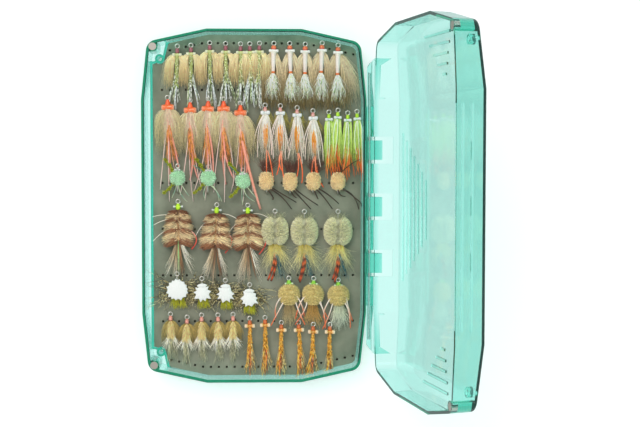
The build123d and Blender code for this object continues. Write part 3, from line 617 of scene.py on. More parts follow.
def pearlShrimp(fly):  # ribbed white body with an orange butt, pearl tinsel behind it, and fur down both sides
    own = pearlShrimpSet
    turned(fly, "thread", [(1.0, 0.7), (1.6, 1.25), (2.6, 1.4), (3.3, 1.1)], own["head"], ribs=0.05)
    dumbbell(fly, 4.0, 5.2, 1.7, 1.8, own["eyes"], above=1.1, bone=0.9)
    turned(fly, "thread", [(4.2, 1.7), (5.5, 1.45), (7, 1.25), (11, 1.15), (14.8, 1.0)], own["body"], ribs=0.05,
           lift=0.6)
    turned(fly, "thread", [(14.8, 0.95), (15.3, 1.1), (16.0, 0.85)], own["butt"], lift=0.6)
    # pearl tinsel behind the body: its own ivory, with white and green flecks painted in as glints
    tuft(fly, own["flashCount"], (0, 15.8, 0.6, 0.4, 0.3, 0.5), (0, 20, 1.6, 2.3, 1.6, 1.2),
         (0.3, 28.0, 0.8, 3.0, 3.2, 1.4), own["flash"], thick=0.32, kind="flash", rings=12, ragged=0.4,
         pick="flecks", wave=0.8, spread=0.06)
    tuft(fly, own["paleCount"], (0, 16.0, 1.0, 0.5, 0.3, 0.5), (0, 20, 2.0, 2.6, 1.6, 1.0),
         (0.3, 27.0, 1.2, 3.2, 3.6, 1.4), own["pale"], thick=0.14, kind="flash", rings=7, ragged=0.4, wave=0.7)
    tuft(fly, own["furCount"], (0.8, 4.6, -0.2, 0.5, 0.6, 0.6), (4.0, 11.0, 0.2, 1.6, 2.4, 1.0),
         (5.0, 30.5, -0.4, 2.8, 4.4, 1.2), own["fur"], both=True, thick=0.13, ragged=0.4, wave=0.7)
    tuft(fly, own["darkCount"], (0.8, 14, -0.6, 1.0, 1.0, 0.4), (2.8, 22.0, -0.4, 2.4, 2.4, 0.6),
         (3.2, 34.5, -1.0, 4.4, 3.0, 0.8), own["dark"], both=True, thick=0.14, ragged=0.3, wave=0.8, pick=0.6)
    if fly["index"] == 4:  # the last one's fur stands off to the lid's side
        tuft(fly, own["looseCount"], (1.0, 6, -0.2, 0.6, 2.0, 0.6), (6.6, 11, 0.4, 2.4, 3.0, 1.2),
             (9.6, 26, -0.6, 2.4, 6.0, 1.2), own["loose"], thick=0.1, ragged=0.4, wave=0.9)


pinkLegShrimpSet = {
    "head": ["#E8501F", "#FB642C", "#F45A26"],
    "eyes": ["#FFF0DC", "#FF8440", "#FF7030", "#FF7A38", "#FF7A38", "#FF7030", "#FF8440", "#FFF0DC"],
    "fur": ["#DCCBA4", "#E8DAB0", "#DDCF9E", "#C2B384"], "furCount": 430,
    "loose": ["#F0E4BC", "#EDDFB6", "#D8CA98"], "looseCount": 120,
    "wing": ["#E2C6B0", "#EBD4BA", "#D8C29C", "#E8CAB8"], "wingCount": 130,
    "barred": ["#F8A050", "#FAB068", "#D8843A", "#F69C70", "#EC9A44", "#A86A34"], "barredCount": 34,
    "palePink": ["#F1DED2", "#ECD0C4", "#EAC2B6", "#F0DAD0"], "pink": ["#EBA08A", "#E99480", "#E8A696"],
    "strap": ["#F0A086", "#EE9880", "#EDA692"],
}


def pinkLegShrimp(fly):  # an orange head over a skirt of fur that leans by slant, and long rubber legs down its back
    own = pinkLegShrimpSet
    turned(fly, "thread", [(0.9, 0.7), (1.8, 1.0), (3.4, 1.5), (4.2, 1.5)], own["head"], ribs=0.03)
    dumbbell(fly, 5.2, 6.8, 3.2, 1.0, own["eyes"], above=1.0, bone=0.86)
    slant = chance.uniform(-0.9, 0.9)
    tuft(fly, own["furCount"], (0.5, 6.4, 0.4, 0.8, 0.6, 1.1), (4.4 + slant, 8.6, 1.4, 3.0, 2.2, 1.5),
         (3.9 + slant, 25.0, 0.4, 3.1, 5.4, 1.6), own["fur"], both=True, thick=0.13, ragged=0.4, wave=0.7)
    tuft(fly, own["looseCount"], (0.2, 7, 0.8, 1.0, 1.0, 0.9), (slant * 2, 13, 2.4, 3.8, 2.4, 1.0),
         (slant * 3, 27.0, 1.2, 4.6, 4.4, 1.2), own["loose"], thick=0.09, ragged=0.5, wave=1.0)
    tuft(fly, own["wingCount"], (0, 6.4, 1.6, 1.2, 0.5, 0.5), (0, 11, 2.8, 2.4, 1.4, 0.4),
         (0.3, 20.0, 1.6, 2.9, 3.2, 0.6), own["wing"], thick=0.13, ragged=0.3, pick=0.8, wave=0.6)
    tuft(fly, own["barredCount"], (0, 16, 2.2, 0.7, 1.6, 0.3), (slant, 24, 2.8, 1.7, 2.4, 0.5),
         (slant * 1.5, 34.0, 0.4, 2.6, 2.4, 0.6), own["barred"], thick=0.34, kind="legs", ragged=0.4,
         pick="flecks", rings=14, wave=0.5)
    legs(fly, [((-0.6, 12, 1.8), (-2.6, 30, 1.4), (-5.0, 49, -2.2)), ((0.4, 12, 1.8), (0.2, 32, 1.2), (-0.8, 55, -2.2)),
               ((0.7, 12, 1.8), (2.4, 30, 1.4), (4.0, 47, -2.2))], own["palePink"], thick=0.28, wander=1.8)
    legs(fly, [((-0.4, 11, 2.0), (-0.6, 27, 1.6), (0.2, 44, -2.0)), ((0.3, 15, 2.0), (2.0, 28, 1.6), (3.4, 43, -2.0))],
         own["pink"], thick=0.6, wander=1.8, sides=5)
    if fly["index"] == 4:  # the last one has a broad strap
        legs(fly, [((0.6, 20, 2.4), (4.0, 38, 1.8), (9.4, 57, -1.6))], own["strap"], thick=0.85, wander=0.5)


whiteWingShrimpSet = {
    "head": ["#DE8E84", "#E8A498", "#EBCDC0"], "eyes": ["#FAFAF8", "#E6E9E6", "#F3F4F0", "#E6E9E6", "#FAFAF8"],
    "wing": ["#FBF4E2", "#FAF0DC", "#F2E6CC", "#E2D6B8"], "wingCount": 170,
    "under": ["#948A40", "#B4A858", "#8A8040"], "underCount": 150,
    "legs": ["#F6EFE4", "#F0DFD2", "#F1D9CC"],
    "patch": ["#FFB458", "#FFA038", "#FFB468"], "patchCount": 60,
    "pale": ["#FBF6EC", "#F6EAD8"], "paleCount": 16, "tails": ["#F8A884", "#FF7440", "#FA6430"],
}


def whiteWingShrimp(fly):  # a white wing over an olive one, an orange patch on top, pale legs and orange tails
    own = whiteWingShrimpSet
    turned(fly, "thread", [(0.9, 0.6), (1.6, 0.95), (2.6, 1.05), (3.2, 0.9)], own["head"], ribs=0.05)
    dumbbell(fly, 4.0, 5.0, 2.4, 1.2, own["eyes"], above=0.8, bone=0.6)
    tuft(fly, own["wingCount"], (0, 4.6, 0.5, 1.1, 0.5, 0.6), (0.2, 11, 1.2, 3.0, 2.4, 0.9),
         (0.2, 25.0, 0.4, 3.3, 4.6, 0.9), own["wing"], thick=0.15, ragged=0.45, wave=0.8)
    tuft(fly, own["underCount"], (0, 2.6, -0.8, 1.4, 0.8, 0.4), (0.6, 7, -0.4, 3.8, 2.0, 0.5),
         (0.8, 13.5, -1.0, 4.8, 2.6, 0.6), own["under"], thick=0.14, wave=0.8)
    legs(fly, [((-0.6, 5, 1.4), (-2.9, 14, 1.8), (-4.4, 27, 0.8)), ((0.6, 5, 1.4), (2.8, 14, 1.8), (4.2, 26, 0.8)),
               ((-0.9, 5, 1.2), (-3.6, 13, 1.4), (-5.8, 23, 0.6)), ((0.3, 5, 1.6), (2.0, 15, 2.2), (3.0, 29, 0.8))],
         own["legs"], thick=0.3, wander=1.2)
    tuft(fly, own["patchCount"], (0, 11.0, 2.8, 1.1, 1.2, 0.2), (0, 15, 3.8, 1.6, 1.8, 0.3),
         (0, 22.5, 2.2, 0.5, 2.0, 0.3), own["patch"], thick=0.24, ragged=0.35, kind="legs", wave=0.3)
    tuft(fly, own["paleCount"], (0, 6, 2.8, 0.8, 1, 0.2), (0, 15, 4.0, 2.2, 1.4, 0.2),
         (0, 25.0, 2.4, 2.9, 2.6, 0.3), own["pale"], thick=0.16, ragged=0.25, wave=0.7)
    legs(fly, [((0.3, 24, 1.0), (-0.6, 31, 0.8), (-0.9, 38, 0.2)), ((0.8, 24, 1.0), (1.6, 32, 0.8), (3.2, 40.5, 0.2)),
               ((-0.2, 26, 1.0), (0.6, 31, 0.8), (2.4, 35, 0.2))][:2 + fly["index"] % 2],
         own["tails"], thick=0.4, wander=1.4, sides=5)


chartreuseShrimpSet = {
    "head": ["#A6D21E", "#BCE432", "#A8D426"], "eyes": ["#F4F7F2", "#E2EAE0", "#F4F7F2"],
    "fur": ["#A8D436", "#BCE44A", "#D0EC74", "#C0DE64", "#BCC45C"], "furCount": 300,
    # pale is a painted highlight: paler green fibres for the top of the wing
    "pale": ["#E2F2A0", "#D8EE88", "#CDE872"], "paleCount": 40,
    "legs": ["#EDF4DE", "#E2F2C8", "#E9DDB0"],
    "tips": ["#FF9444", "#FF7C38", "#FF6C30", "#FFA860"], "tipCount": 20,
    "longLeg": ["#E6F0E6", "#E4EEDC", "#F0B8A0"],
}


def chartreuseShrimp(fly):  # a narrow green wing with orange rubber tips
    own = chartreuseShrimpSet
    turned(fly, "thread", [(0.9, 0.6), (1.6, 0.95), (2.8, 1.0), (3.3, 0.8)], own["head"], ribs=0.05)
    dumbbell(fly, 3.9, 4.2, 1.8, 0.9, own["eyes"], above=0.9, bone=0.7)
    tuft(fly, own["furCount"], (0, 4.8, 0.0, 1.6, 0.5, 1.0), (0, 12, 0.6, 2.7, 2.4, 1.6),
         (0.1, 26.0, 0.2, 2.5, 4.0, 1.5), own["fur"], thick=0.15, ragged=0.45, wave=0.6, spread=0.26)
    # painted highlight: a few paler fibres laid along the top of the wing, where the light falls
    tuft(fly, own["paleCount"], (0, 5.4, 1.2, 1.6, 0.8, 0.4), (0, 13, 2.0, 2.6, 2.4, 0.4),
         (0.2, 25.0, 1.2, 2.6, 4.0, 0.4), own["pale"], thick=0.13, ragged=0.4, wave=0.8)
    legs(fly, [((0, 4.8, 1.8), (0.3, 14, 2.4), (0.2, 26, 1.2)), ((-0.5, 5, 1.4), (-1.2, 14, 2.2), (-1.5, 25, 0.8))],
         own["legs"], thick=0.3, wander=0.9)
    tuft(fly, own["tipCount"], (0, 18, 1.0, 1.3, 1.0, 0.4), (0, 26, 1.4, 2.1, 1.4, 0.5),
         (0.2, 34.5, 0.6, 3.0, 3.2, 0.5), own["tips"], thick=0.42, ragged=0.4, kind="legs", pick=0.5, wave=0.6)
    if fly["index"] == 3:  # one long pale leg hangs towards the hinge
        legs(fly, [((1.2, 5, 1.0), (4.4, 18, 4.0), (6.6, 33, 7.2))], own["longLeg"], thick=0.3, wander=0.2)


mintCrabSet = {
    "body": ["#98C8A0", "#B2DCB4", "#C6E8C6"], "bodyCount": 700,
    "head": ["#C9D8C0", "#B8D8B4"], "eyes": ["#F0F1EE", "#B9BCBC", "#E2E4E2"],
    "claws": ["#76821E", "#96A02C", "#AEAE40", "#848E24"], "clawCount": 320,
    "legs": ["#C6D8AC", "#CCD6B4", "#6FA088", "#C8D2AC"], "frontLeg": ["#7FB090", "#4F8C74", "#8FB49C"],
}


def mintCrab(fly):  # a mint pad with two chenille claws to one side and rubber legs behind; c is the pad's middle
    own, c = mintCrabSet, fly["behind"]
    pad(fly, c, fly["width"], fly["length"], fly["height"], own["body"], own["bodyCount"], lift=0.6, thick=0.15)
    turned(fly, "thread", [(1.0, 0.6), (1.5, 0.8), (2.0, 0.7)], own["head"])
    dumbbell(fly, 2.0, 3.2, 1.3, 0.5, own["eyes"], above=1.3)
    for claw in (((-2.2, c - 3.0, 0.8), (-3.8, c - 6.4, 1.4), (-7.2, c - 9.8, 1.0)),
                 ((-2.0, c + 3.0, 0.6), (-4.0, c + 6.4, 0.8), (-7.4, c + 8.6, 0.6))):
        chenille(fly, claw, own["clawCount"], 1.5, own["claws"], thick=0.2)
    legs(fly, [((0.6, c + 3.6, 0.2), (3.0, c + 8.5, 0.2), (6.4, c + 12.4, 0)),
               ((-0.4, c + 3.6, 0.2), (-0.8, c + 8, 0.2), (-2.4, c + 12, 0)),
               ((1.8, c + 3.2, 0.2), (4.6, c + 7.5, 0.2), (7.4, c + 10.6, 0))], own["legs"], thick=0.24, wander=1.8)
    if fly["index"]:
        legs(fly, [((-2.0, c - 2.4, 1.0), (-5.6, c - 5.2, 1.6), (-9.4, c - 7.6, 0.8))], own["frontLeg"],
             thick=0.26, wander=1.6)


tanCrabSet = {
    "body": ["#D2B07C", "#E8CC98", "#EFD8AA"], "bodyCount": 900,
    "dark": ["#38201A", "#6A4232", "#4A2A22", "#7E523E"], "darkCount": 150,
    "legs": ["#54402E", "#2E251E", "#4A3828", "#2A231C"], "overLeg": ["#4A4028", "#2E2A1E", "#57503A"],
}


def tanCrab(fly):  # a squarish tan pad, dark hair in front of it, and long dark legs to the hinge side
    own, c = tanCrabSet, fly["behind"]
    pad(fly, c, fly["width"], fly["length"], fly["height"], own["body"], own["bodyCount"], lift=0.6, power=2.8,
        teeth=0.035, thick=0.14)
    tuft(fly, own["darkCount"], (0, 1.8, 0.2, 1.2, 0.4, 0.3), (0.4, -1.0, 0.6, 3.0, 1.2, 0.6),
         (0.8, -4.4, 0.4, 5.2, 2.2, 0.8), own["dark"], thick=0.15, ragged=0.1, wave=0.8)
    legs(fly, [((1.4, c + 4.2, 0.4), (6.4, c + 8.4, 0.4), (12.4, c + 15.2, -0.2)),
               ((2.6, c + 3.6, 0.4), (8.0, c + 7.6, 0.4), (14.4, c + 12.2, -0.2)),
               ((0.4, c + 4.4, 0.2), (2.2, c + 8.0, 0.2), (3.4, c + 9.6, 0))], own["legs"], thick=0.42, wander=1.6,
         taper=0.4)
    if fly["index"] == 3:  # one leg lies up over the fly above
        legs(fly, [((1.6, 1.6, 1.0), (6.0, -2.4, 3.4), (11.0, -5.6, 4.4))], own["overLeg"], thick=0.28, wander=0.3)


woolCrabSet = {
    "body": ["#A6A27A", "#D2CEA6", "#E6E2C0"], "bodyCount": 3000,
    "bands": ["#CCC89E"] + ["#DAD6AE", "#E6E2C0", "#DEDAB4", "#CECA9F"] * 9,
    "tail": ["#D2B84E", "#DCCB6C", "#E2D898", "#DAD6AC"], "tailCount": 330,
    "legs": ["#E0A050", "#C8642C", "#241410", "#DC6A30", "#1E120E", "#D85E2A", "#241410", "#D0562A", "#1E120E"],
    "flash": ["#2E6C7C", "#1F3F48", "#4A8C98", "#24444C"], "flashCount": 14,
    "top": ["#8E8C68", "#BEBB94", "#A5A380"], "topCount": 90,
}


def woolCrab(fly):  # a clipped wool body in two lobes, a yellow tail flared to one side, and two barred legs in it
    own = woolCrabSet
    pad(fly, fly["behind"], fly["width"], fly["length"], fly["height"], own["body"], own["bodyCount"], lobes=0.26,
        lift=0.4, thick=0.14, power=2.3, arch=-0.5, bands=own["bands"])
    c = fly["behind"] + fly["length"] / 2 - 1.5
    lean = chance.uniform(-1.2, 1.6)
    tuft(fly, own["tailCount"], (0, c - 0.5, -1.2, 2.6, 0.8, 0.8), (0.2 + lean * 0.3, c + 4, 0.0, 2.9, 2.6, 1.2),
         (0.5 + lean, c + 13.0, -0.4, 7.2, 4.8, 1.2), own["tail"], thick=0.11, ragged=0.6, wave=1.2)
    legs(fly, [((0, c + 5, -0.8), (-1.0, c + 12, 1.0), (-3.4, c + 19.5, 0.4)),
               ((0.5, c + 5, -0.8), (0.0, c + 12, 1.0), (-2.2, c + 20.5, 0.4))], own["legs"], thick=0.7, wander=0.5,
         rings=27)
    tuft(fly, own["flashCount"], (1.0, c + 6, 0.4, 0.6, 1.0, 0.3), (2.6, c + 12, 0.4, 1.6, 1.6, 0.4),
         (4.0, c + 19, -0.2, 2.6, 2.0, 0.4), own["flash"], thick=0.2, kind="flash", pick=1.0, rings=9, wave=0.6)
    tuft(fly, own["topCount"], (0, 5.0, 0.4, 3.8, 1.2, 0.8), (0, 3.0, 0.6, 4.6, 1.0, 0.8),
         (0, 1.6, 0.2, 5.4, 1.4, 0.8), own["top"], thick=0.1, wave=0.4)


stripedCrabSet = {
    "head": ["#B2E01A", "#C8F424", "#B6E41E"], "eyes": ["#B9BEBC", "#DDE0DE", "#B0E01C", "#DDE0DE", "#B9BEBC"],
    "core": ["#8A5E3E", "#C9A878", "#8A5E3E", "#C9A878", "#7A5036"],
    "body": ["#70482F", "#82573C", "#CDB286", "#D6BE92", "#8E6346", "#84593C", "#CDB488", "#D9C296", "#8A5D40",
             "#9A6A4A", "#D6BD90", "#DFC89C", "#966848", "#75492E"],
    "edges": [4.6, 6.2, 6.8, 8.3, 9.0, 10.6, 11.2, 13.6, 14.4, 15.6, 16.2, 19.0, 19.8, 24.0],  # mm behind the eye
    "bodyCount": 3200, "start": 4.6, "end": 22.4,
    "reach": ([4.6, 7.0, 12, 17, 20.5, 22.4], [5.4, 7.0, 8.0, 9.2, 8.8, 6.4]),
    "droop": ([4.6, 12, 18, 22.4], [0.02, 0.1, 0.2, 0.34]),
    "tips": [["#6E4A30", "#9C7450", "#7A563A"], ["#C9BEA4", "#E9E2D0", "#D2C8B0"], ["#8A6A4A", "#C4AE8C", "#E6DEC8"],
             ["#7A563A", "#B59A74", "#DCD2BC"], ["#5E4028", "#8E6A4A", "#C9B496"]],
    "greenTip": ["#7CC66A", "#A9CE8C", "#C9BE9C"],
    "legs": ["#CFC3AC", "#E8DECA", "#F2ECDD"], "redLeg": ["#E8C7B0", "#E0604A", "#DA4034"],
}


def stripedCrab(fly):
    # flat trimmed body: fibres run from the spine out and a little back, in crosswise bands; how far each goes out
    # is side^0.6 times the body's half width there, and it ends its reach times droop further back
    own = stripedCrabSet
    turned(fly, "thread", [(1.2, 0.6), (2.0, 1.1), (3.4, 1.25), (4.4, 1.0)], own["head"], ribs=0.06)
    dumbbell(fly, 2.8, 5.4, 1.3, 1.6, own["eyes"], above=0.4, bone=0.5)
    turned(fly, "pad", [(4.4, 1.6), (8, 3.6), (14, 5.0), (20, 5.4), (23.0, 2.0)], own["core"], flat=0.2, sides=16)
    stops = np.array([linearColor(hue)[:3] for hue in own["body"]])
    count = own["bodyCount"]
    place, side = chance.uniform(own["start"], own["end"], count), chance.uniform(-1, 1, count)
    reach = np.interp(place, *own["reach"]) * chance.uniform(0.86, 1.06, count)
    across = np.sign(side) * np.abs(side) ** 0.6 * reach
    droop = np.interp(place, *own["droop"]) + 0.05 * np.sin(place * 1.3 + fly["index"])
    start = np.stack([across * 0.35, place, 1.0 - 0.3 * np.abs(side) + chance.uniform(-0.5, 0.5, count)], -1)
    end = np.stack([across, place + np.abs(across) * droop + 0.5, 0.6 + chance.uniform(-1.0, 0.7, count)], -1)
    t = np.linspace(0, 1, 4)
    paths = straight(start, end - start, t)
    paths[..., 2] += (np.sin(t * math.pi) * 0.4)[None]
    # bands: the stops' colours between the edges, blurred along the body, and darker along the spine
    level = place + chance.normal(0, 0.5, count) + 0.5 * np.sin(across * 0.9 + fly["index"] * 2)
    level = np.clip(level, own["edges"][0], own["edges"][-1])
    tones = np.stack([np.interp(level, own["edges"], stops[:, k]) for k in range(3)], -1)
    tones = tones * np.exp(chance.normal(0, 0.22, (count, 1)))
    tones = tones * (1 - 0.35 * np.exp(-(across / 0.7) ** 2))[:, None]
    radii = 0.17 * np.array([1, 1, 0.9, 0.5])[None] * chance.uniform(0.7, 1.2, (count, 1))
    fibres(fly, "pad", paths, radii, np.clip(np.repeat(tones[:, None], 4, 1), 0, 1), 3, 0.6)
    tips = list(own["tips"])
    if fly["index"] == 0:  # the first one has a green feather and a fan of legs
        tips[4] = own["greenTip"]
    for k in range(5):  # hackle tips splay out behind in separate feathers
        lean = np.linspace(-1, 1, 5)[k] * 6.6 + chance.uniform(-1.4, 1.4)
        tuft(fly, 22, (lean * 0.12, 20.0, 0.4, 0.3, 1.0, 0.3), (lean * 0.35, 28, 0.9, 0.5, 2.0, 0.4),
             (lean, 40.5 - abs(lean) * 0.3, -0.4, 0.9, 3.6, 0.5), tips[(k + 2) % 5],
             thick=0.16, ragged=0.3, spread=0.25, wave=0.35)
    if fly["index"] == 0:
        legs(fly, [((-4, 9, 0.6), (-9, 10.6, 1.8), (-12.8, 12.6, 4.6)),
                   ((-4.6, 14, 0.6), (-9.6, 17, 1.4), (-12.8, 21, 4.0)),
                   ((-4.0, 7, 0.6), (-9.2, 7.4, 1.8), (-12.8, 8.0, 4.0))], own["legs"], thick=0.22, wander=0.4)
    else:
        legs(fly, [((-4, 9, 0.4), (-8, 12, 0.5), (-11, 17, 0.2)), ((3, 4.5, 1.0), (8, 5.6, 1.2), (12, 7.6, 0.6))],
             own["legs"], thick=0.2, wander=0.6)
    legs(fly, [((5.5, 15, 0.6), (8.4, 20, 0.5), (6.0, 26.5, 0.2))], own["redLeg"], thick=0.42, wander=1.2)


whiteBackCrabSet = {
    "narrow": 10,  # mm: a body under this width gets the small back
    "under": ["#3F3A20", "#6E6A34", "#8A8850"], "underCount": 200,
    "tail": ["#7A7A0E", "#A6A612", "#BEBE2C"], "tailCount": 150,
    "flash": ["#2A2214", "#C9BA7E", "#3A301C", "#E0D6A4", "#6A6030"], "flashCount": 130,
    "legs": ["#7A6A3A", "#D6CA8C", "#6A5A34", "#D2C890", "#7E6E40", "#C9BC84"],
}


def whiteBackCrab(fly):  # a notched foam back over an olive pad; c is its middle, w and l its width and length
    own = whiteBackCrabSet
    c, w, l = fly["behind"], fly["width"], fly["length"]
    if w < own["narrow"]:
        foamBack(fly, c + 0.6, w * 1.02, l * 0.98, 1.8, 1.5, 10, front=0.3, point=0.34)
        foamBack(fly, c - l * 0.36, w * 0.56, l * 0.24, 1.6, 1.7, 4, point=0.1)
    else:
        foamBack(fly, c, w * 0.98, l * 1.0, 1.8, 1.5, 15, front=0.22, point=0.17)
    pad(fly, c, w * 0.8, l * 0.8, fly["height"] * 0.7, own["under"], own["underCount"], lift=-0.3)
    tuft(fly, own["tailCount"], (0, c + l * 0.3, 0.0, w * 0.2, 0.6, 0.5), (0, c + l * 0.55, 0.2, w * 0.26, 1.0, 0.5),
         (0.2, c + l * 0.5 + 4.6, -0.4, w * 0.3, 1.0, 0.6), own["tail"], thick=0.17, ragged=0.15)
    tuft(fly, own["flashCount"], (0, c + 1, -0.6, w * 0.5, l * 0.4, 0.3), (0, c + 1, -0.4, w * 0.85, l * 0.6, 0.4),
         (0, c + 2, -1.2, w * 1.15, l * 0.9, 0.4), own["flash"], thick=0.24, kind="flash", spread=0.1,
         pick="flecks", rings=14, wave=0.9)
    legs(fly, [((s * w * 0.3, c + l * 0.1, 0), (s * (w * 0.6 + 1.6), c + l * 0.3, 0),
                (s * (w * 0.5 + 4.6), c + l * 0.7 + k, -0.8)) for s in (-1, 1) for k in (-5, 0.5)],
         own["legs"], thick=0.18, wander=1.8, rings=18)


roundCrabSet = {
    "head": ["#7CC42A", "#96D63A", "#86CC30"],
    "eyes": ["#F8F8F2", "#D6E4BC", "#8CCC38", "#8CCC38", "#D6E4BC", "#F8F8F2"],
    "body": ["#B7A470", "#D2C28C", "#E0D2A0"], "bodyCount": 1700,
    "bands": ["#C2AE72"] + ["#DAC988", "#E0D092", "#C4AE6E"] * 8,
    "tails": [["#7E6840", "#AE9868", "#CFC296"], ["#8E6A34", "#C2974E", "#D4B474"], ["#B5B494", "#D4D8BE", "#E6EAD6"]],
    "tailCount": 190, "legs": ["#F2E0D0", "#F4E4D6", "#EEC8B0", "#EE8052", "#EA6A3C"],
}


def roundCrab(fly):  # a banded round pad, a soft tail and four rubber legs, pale to orange
    own = roundCrabSet
    c, w, l = fly["behind"], fly["width"], fly["length"]
    turned(fly, "thread", [(1.0, 0.7), (1.8, 1.1), (2.6, 1.2), (3.2, 0.9)], own["head"], ribs=0.06)
    dumbbell(fly, 2.9, 4.6, 1.3, 1.4, own["eyes"], above=0.6, bone=0.6)
    pad(fly, c, w, l, fly["height"], own["body"], own["bodyCount"], lift=0.5, bands=own["bands"], thick=0.13, arch=1.1)
    tuft(fly, own["tailCount"], (0, c + l * 0.35, 0, 1.6, 0.6, 0.6), (0.2, c + l * 0.5 + 3, 0.3, 3.4, 1.4, 0.9),
         (0.6, c + l * 0.5 + 10.5, -0.6, 4.2, 2.8, 1.0), own["tails"][fly["index"]], thick=0.13, ragged=0.45, wave=0.8)
    legs(fly, [((-4.0, c + 1, 1.4), (-6.4, c + 6, 1.2), (-8.2, c + 13, 0.2)),
               ((-3.2, c + 4, 1.4), (-5.6, c + 10, 1.2), (-9.0, c + 17, 0.4)),
               ((4.0, c + 1, 1.4), (6.2, c + 7, 1.2), (7.6, c + 13, 0.2)),
               ((3.4, c + 4, 1.4), (5.0, c + 10, 1.2), (7.2, c + 17.5, 0.2))], own["legs"], thick=0.36, wander=1.3)


smallShrimpSet = {
    "head": ["#D8806E", "#EBA08C", "#E29684"],
    "eyes": ["#2A2420", "#4A3A30", "#D8907C", "#D8907C", "#4A3A30", "#2A2420"],
    "body": ["#E0C888", "#F4E2A8", "#EAD698", "#D2C084"], "bodyCount": 460,
    "wing": ["#A8924C", "#BCA660", "#A08A50"], "wingCount": 190,
    "feathers": ["#EBE0C2", "#FAF4E2", "#F2E9D0"],
    "tail": ["#D9D0A4", "#B9B88E", "#6E7058", "#CCCAAA", "#8E9070"], "tailCount": 56,
}


def smallShrimp(fly):  # a bushy cream body, three thin feathers down each side and a barred tail
    own = smallShrimpSet
    turned(fly, "thread", [(0.9, 0.6), (1.7, 1.0), (2.8, 1.15), (3.4, 0.9)], own["head"], ribs=0.05)
    dumbbell(fly, 2.6, 3.2, 1.0, 0.8, own["eyes"], above=0.5, bone=0.9)
    bristles(fly, own["bodyCount"], (3.6, 11.5), (1.5, 2.3, 2.2, 1.8), own["body"], lift=0.6, lean=0.9, thick=0.14,
             pick=0.4)
    tuft(fly, own["wingCount"], (0.8, 4, 0, 0.5, 0.5, 0.5), (3.2, 6, 0.0, 1.2, 1.6, 0.8),
         (3.8, 14, -0.6, 1.8, 2.4, 0.8), own["wing"], both=True, thick=0.13, ragged=0.3, wave=0.4)
    for side in (-1, 1):
        for k in range(3):
            tuft(fly, 8, (side * 0.4, 9.0, 0.6, 0.2, 0.6, 0.2), (side * (0.9 + 0.6 * k), 14, 0.9, 0.35, 1.2, 0.3),
                 (side * (1.5 + 1.7 * k), 20 - k, 0, 0.45, 1.2, 0.3), own["feathers"], thick=0.17, ragged=0.25,
                 wave=0.35)
    tuft(fly, own["tailCount"], (0, 10, 0.2, 0.6, 0.6, 0.4), (0, 16, 0.4, 1.4, 1.4, 0.6),
         (0.3, 25, -0.6, 2.2, 3.0, 0.8), own["tail"], thick=0.2, ragged=0.4, pick="flecks", rings=14,
         kind="flash", wave=0.5)


goldShrimpSet = {
    "head": ["#B8502A", "#D66E34", "#D2682C"],
    "eyes": ["#FFF2DC", "#FBE2BC", "#F0B050", "#E89C3C", "#F0B050", "#FBE2BC", "#FFF2DC"],
    "body": ["#C8822A", "#DE9C34", "#B46C22"],
    "speckle": ["#F6BC40", "#C0741E", "#FACC58", "#7A4418", "#FADA7C", "#E69A28"], "hackles": 150,
    "sideTails": [["#F0863A", "#A8501E", "#F8A658", "#6E3214", "#EE9442"],
                  ["#F2DC8C", "#98722C", "#F6E6A8", "#B89446", "#5E4420"]],
    "wisps": ["#C9A05A", "#D9BC84", "#B8AE8C"], "wispCount": 40,
}


def goldShrimp(fly):  # a thin speckled gold body with three barred tails fanned by lean
    own = goldShrimpSet
    turned(fly, "thread", [(0.9, 0.6), (1.6, 1.0), (2.8, 1.15), (3.4, 0.9)], own["head"], ribs=0.05)
    dumbbell(fly, 4.0, 5.6, 2.3, 1.6, own["eyes"], above=0.8, bone=0.62)
    turned(fly, "thread", [(4, 0.8), (7, 0.85), (12, 0.8), (14.5, 0.6)], own["body"], lift=0.4)
    bristles(fly, own["hackles"], (4.6, 16.0), (0.9, 1.2, 1.3), own["speckle"], lift=0.6, lean=1.1, thick=0.27,
             spread=0.08, pick="flecks")
    for k, colors in enumerate([own["speckle"]] + own["sideTails"]):
        lean = (k - 1) * 1.5 + chance.uniform(-0.8, 0.8)
        tuft(fly, 8, (lean * 0.15, 12.5, 0.4, 0.3, 0.8, 0.3), (lean * 0.6, 19, 0.6, 0.5, 1.2, 0.4),
             (lean * 1.3, 31.0 - 1.4 * k, -0.2, 0.7, 2.6, 0.4), colors, thick=0.4, ragged=0.3, pick="flecks",
             rings=18, wave=0.5, kind="flash", spread=0.06)
    tuft(fly, own["wispCount"], (0, 12, 0.2, 0.7, 0.8, 0.5), (0.2, 18, 0.2, 2.0, 1.6, 0.5),
         (0.3, 28.5, -0.6, 3.0, 3.6, 0.5), own["wisps"], thick=0.08, ragged=0.4, spread=0.2, wave=0.6)


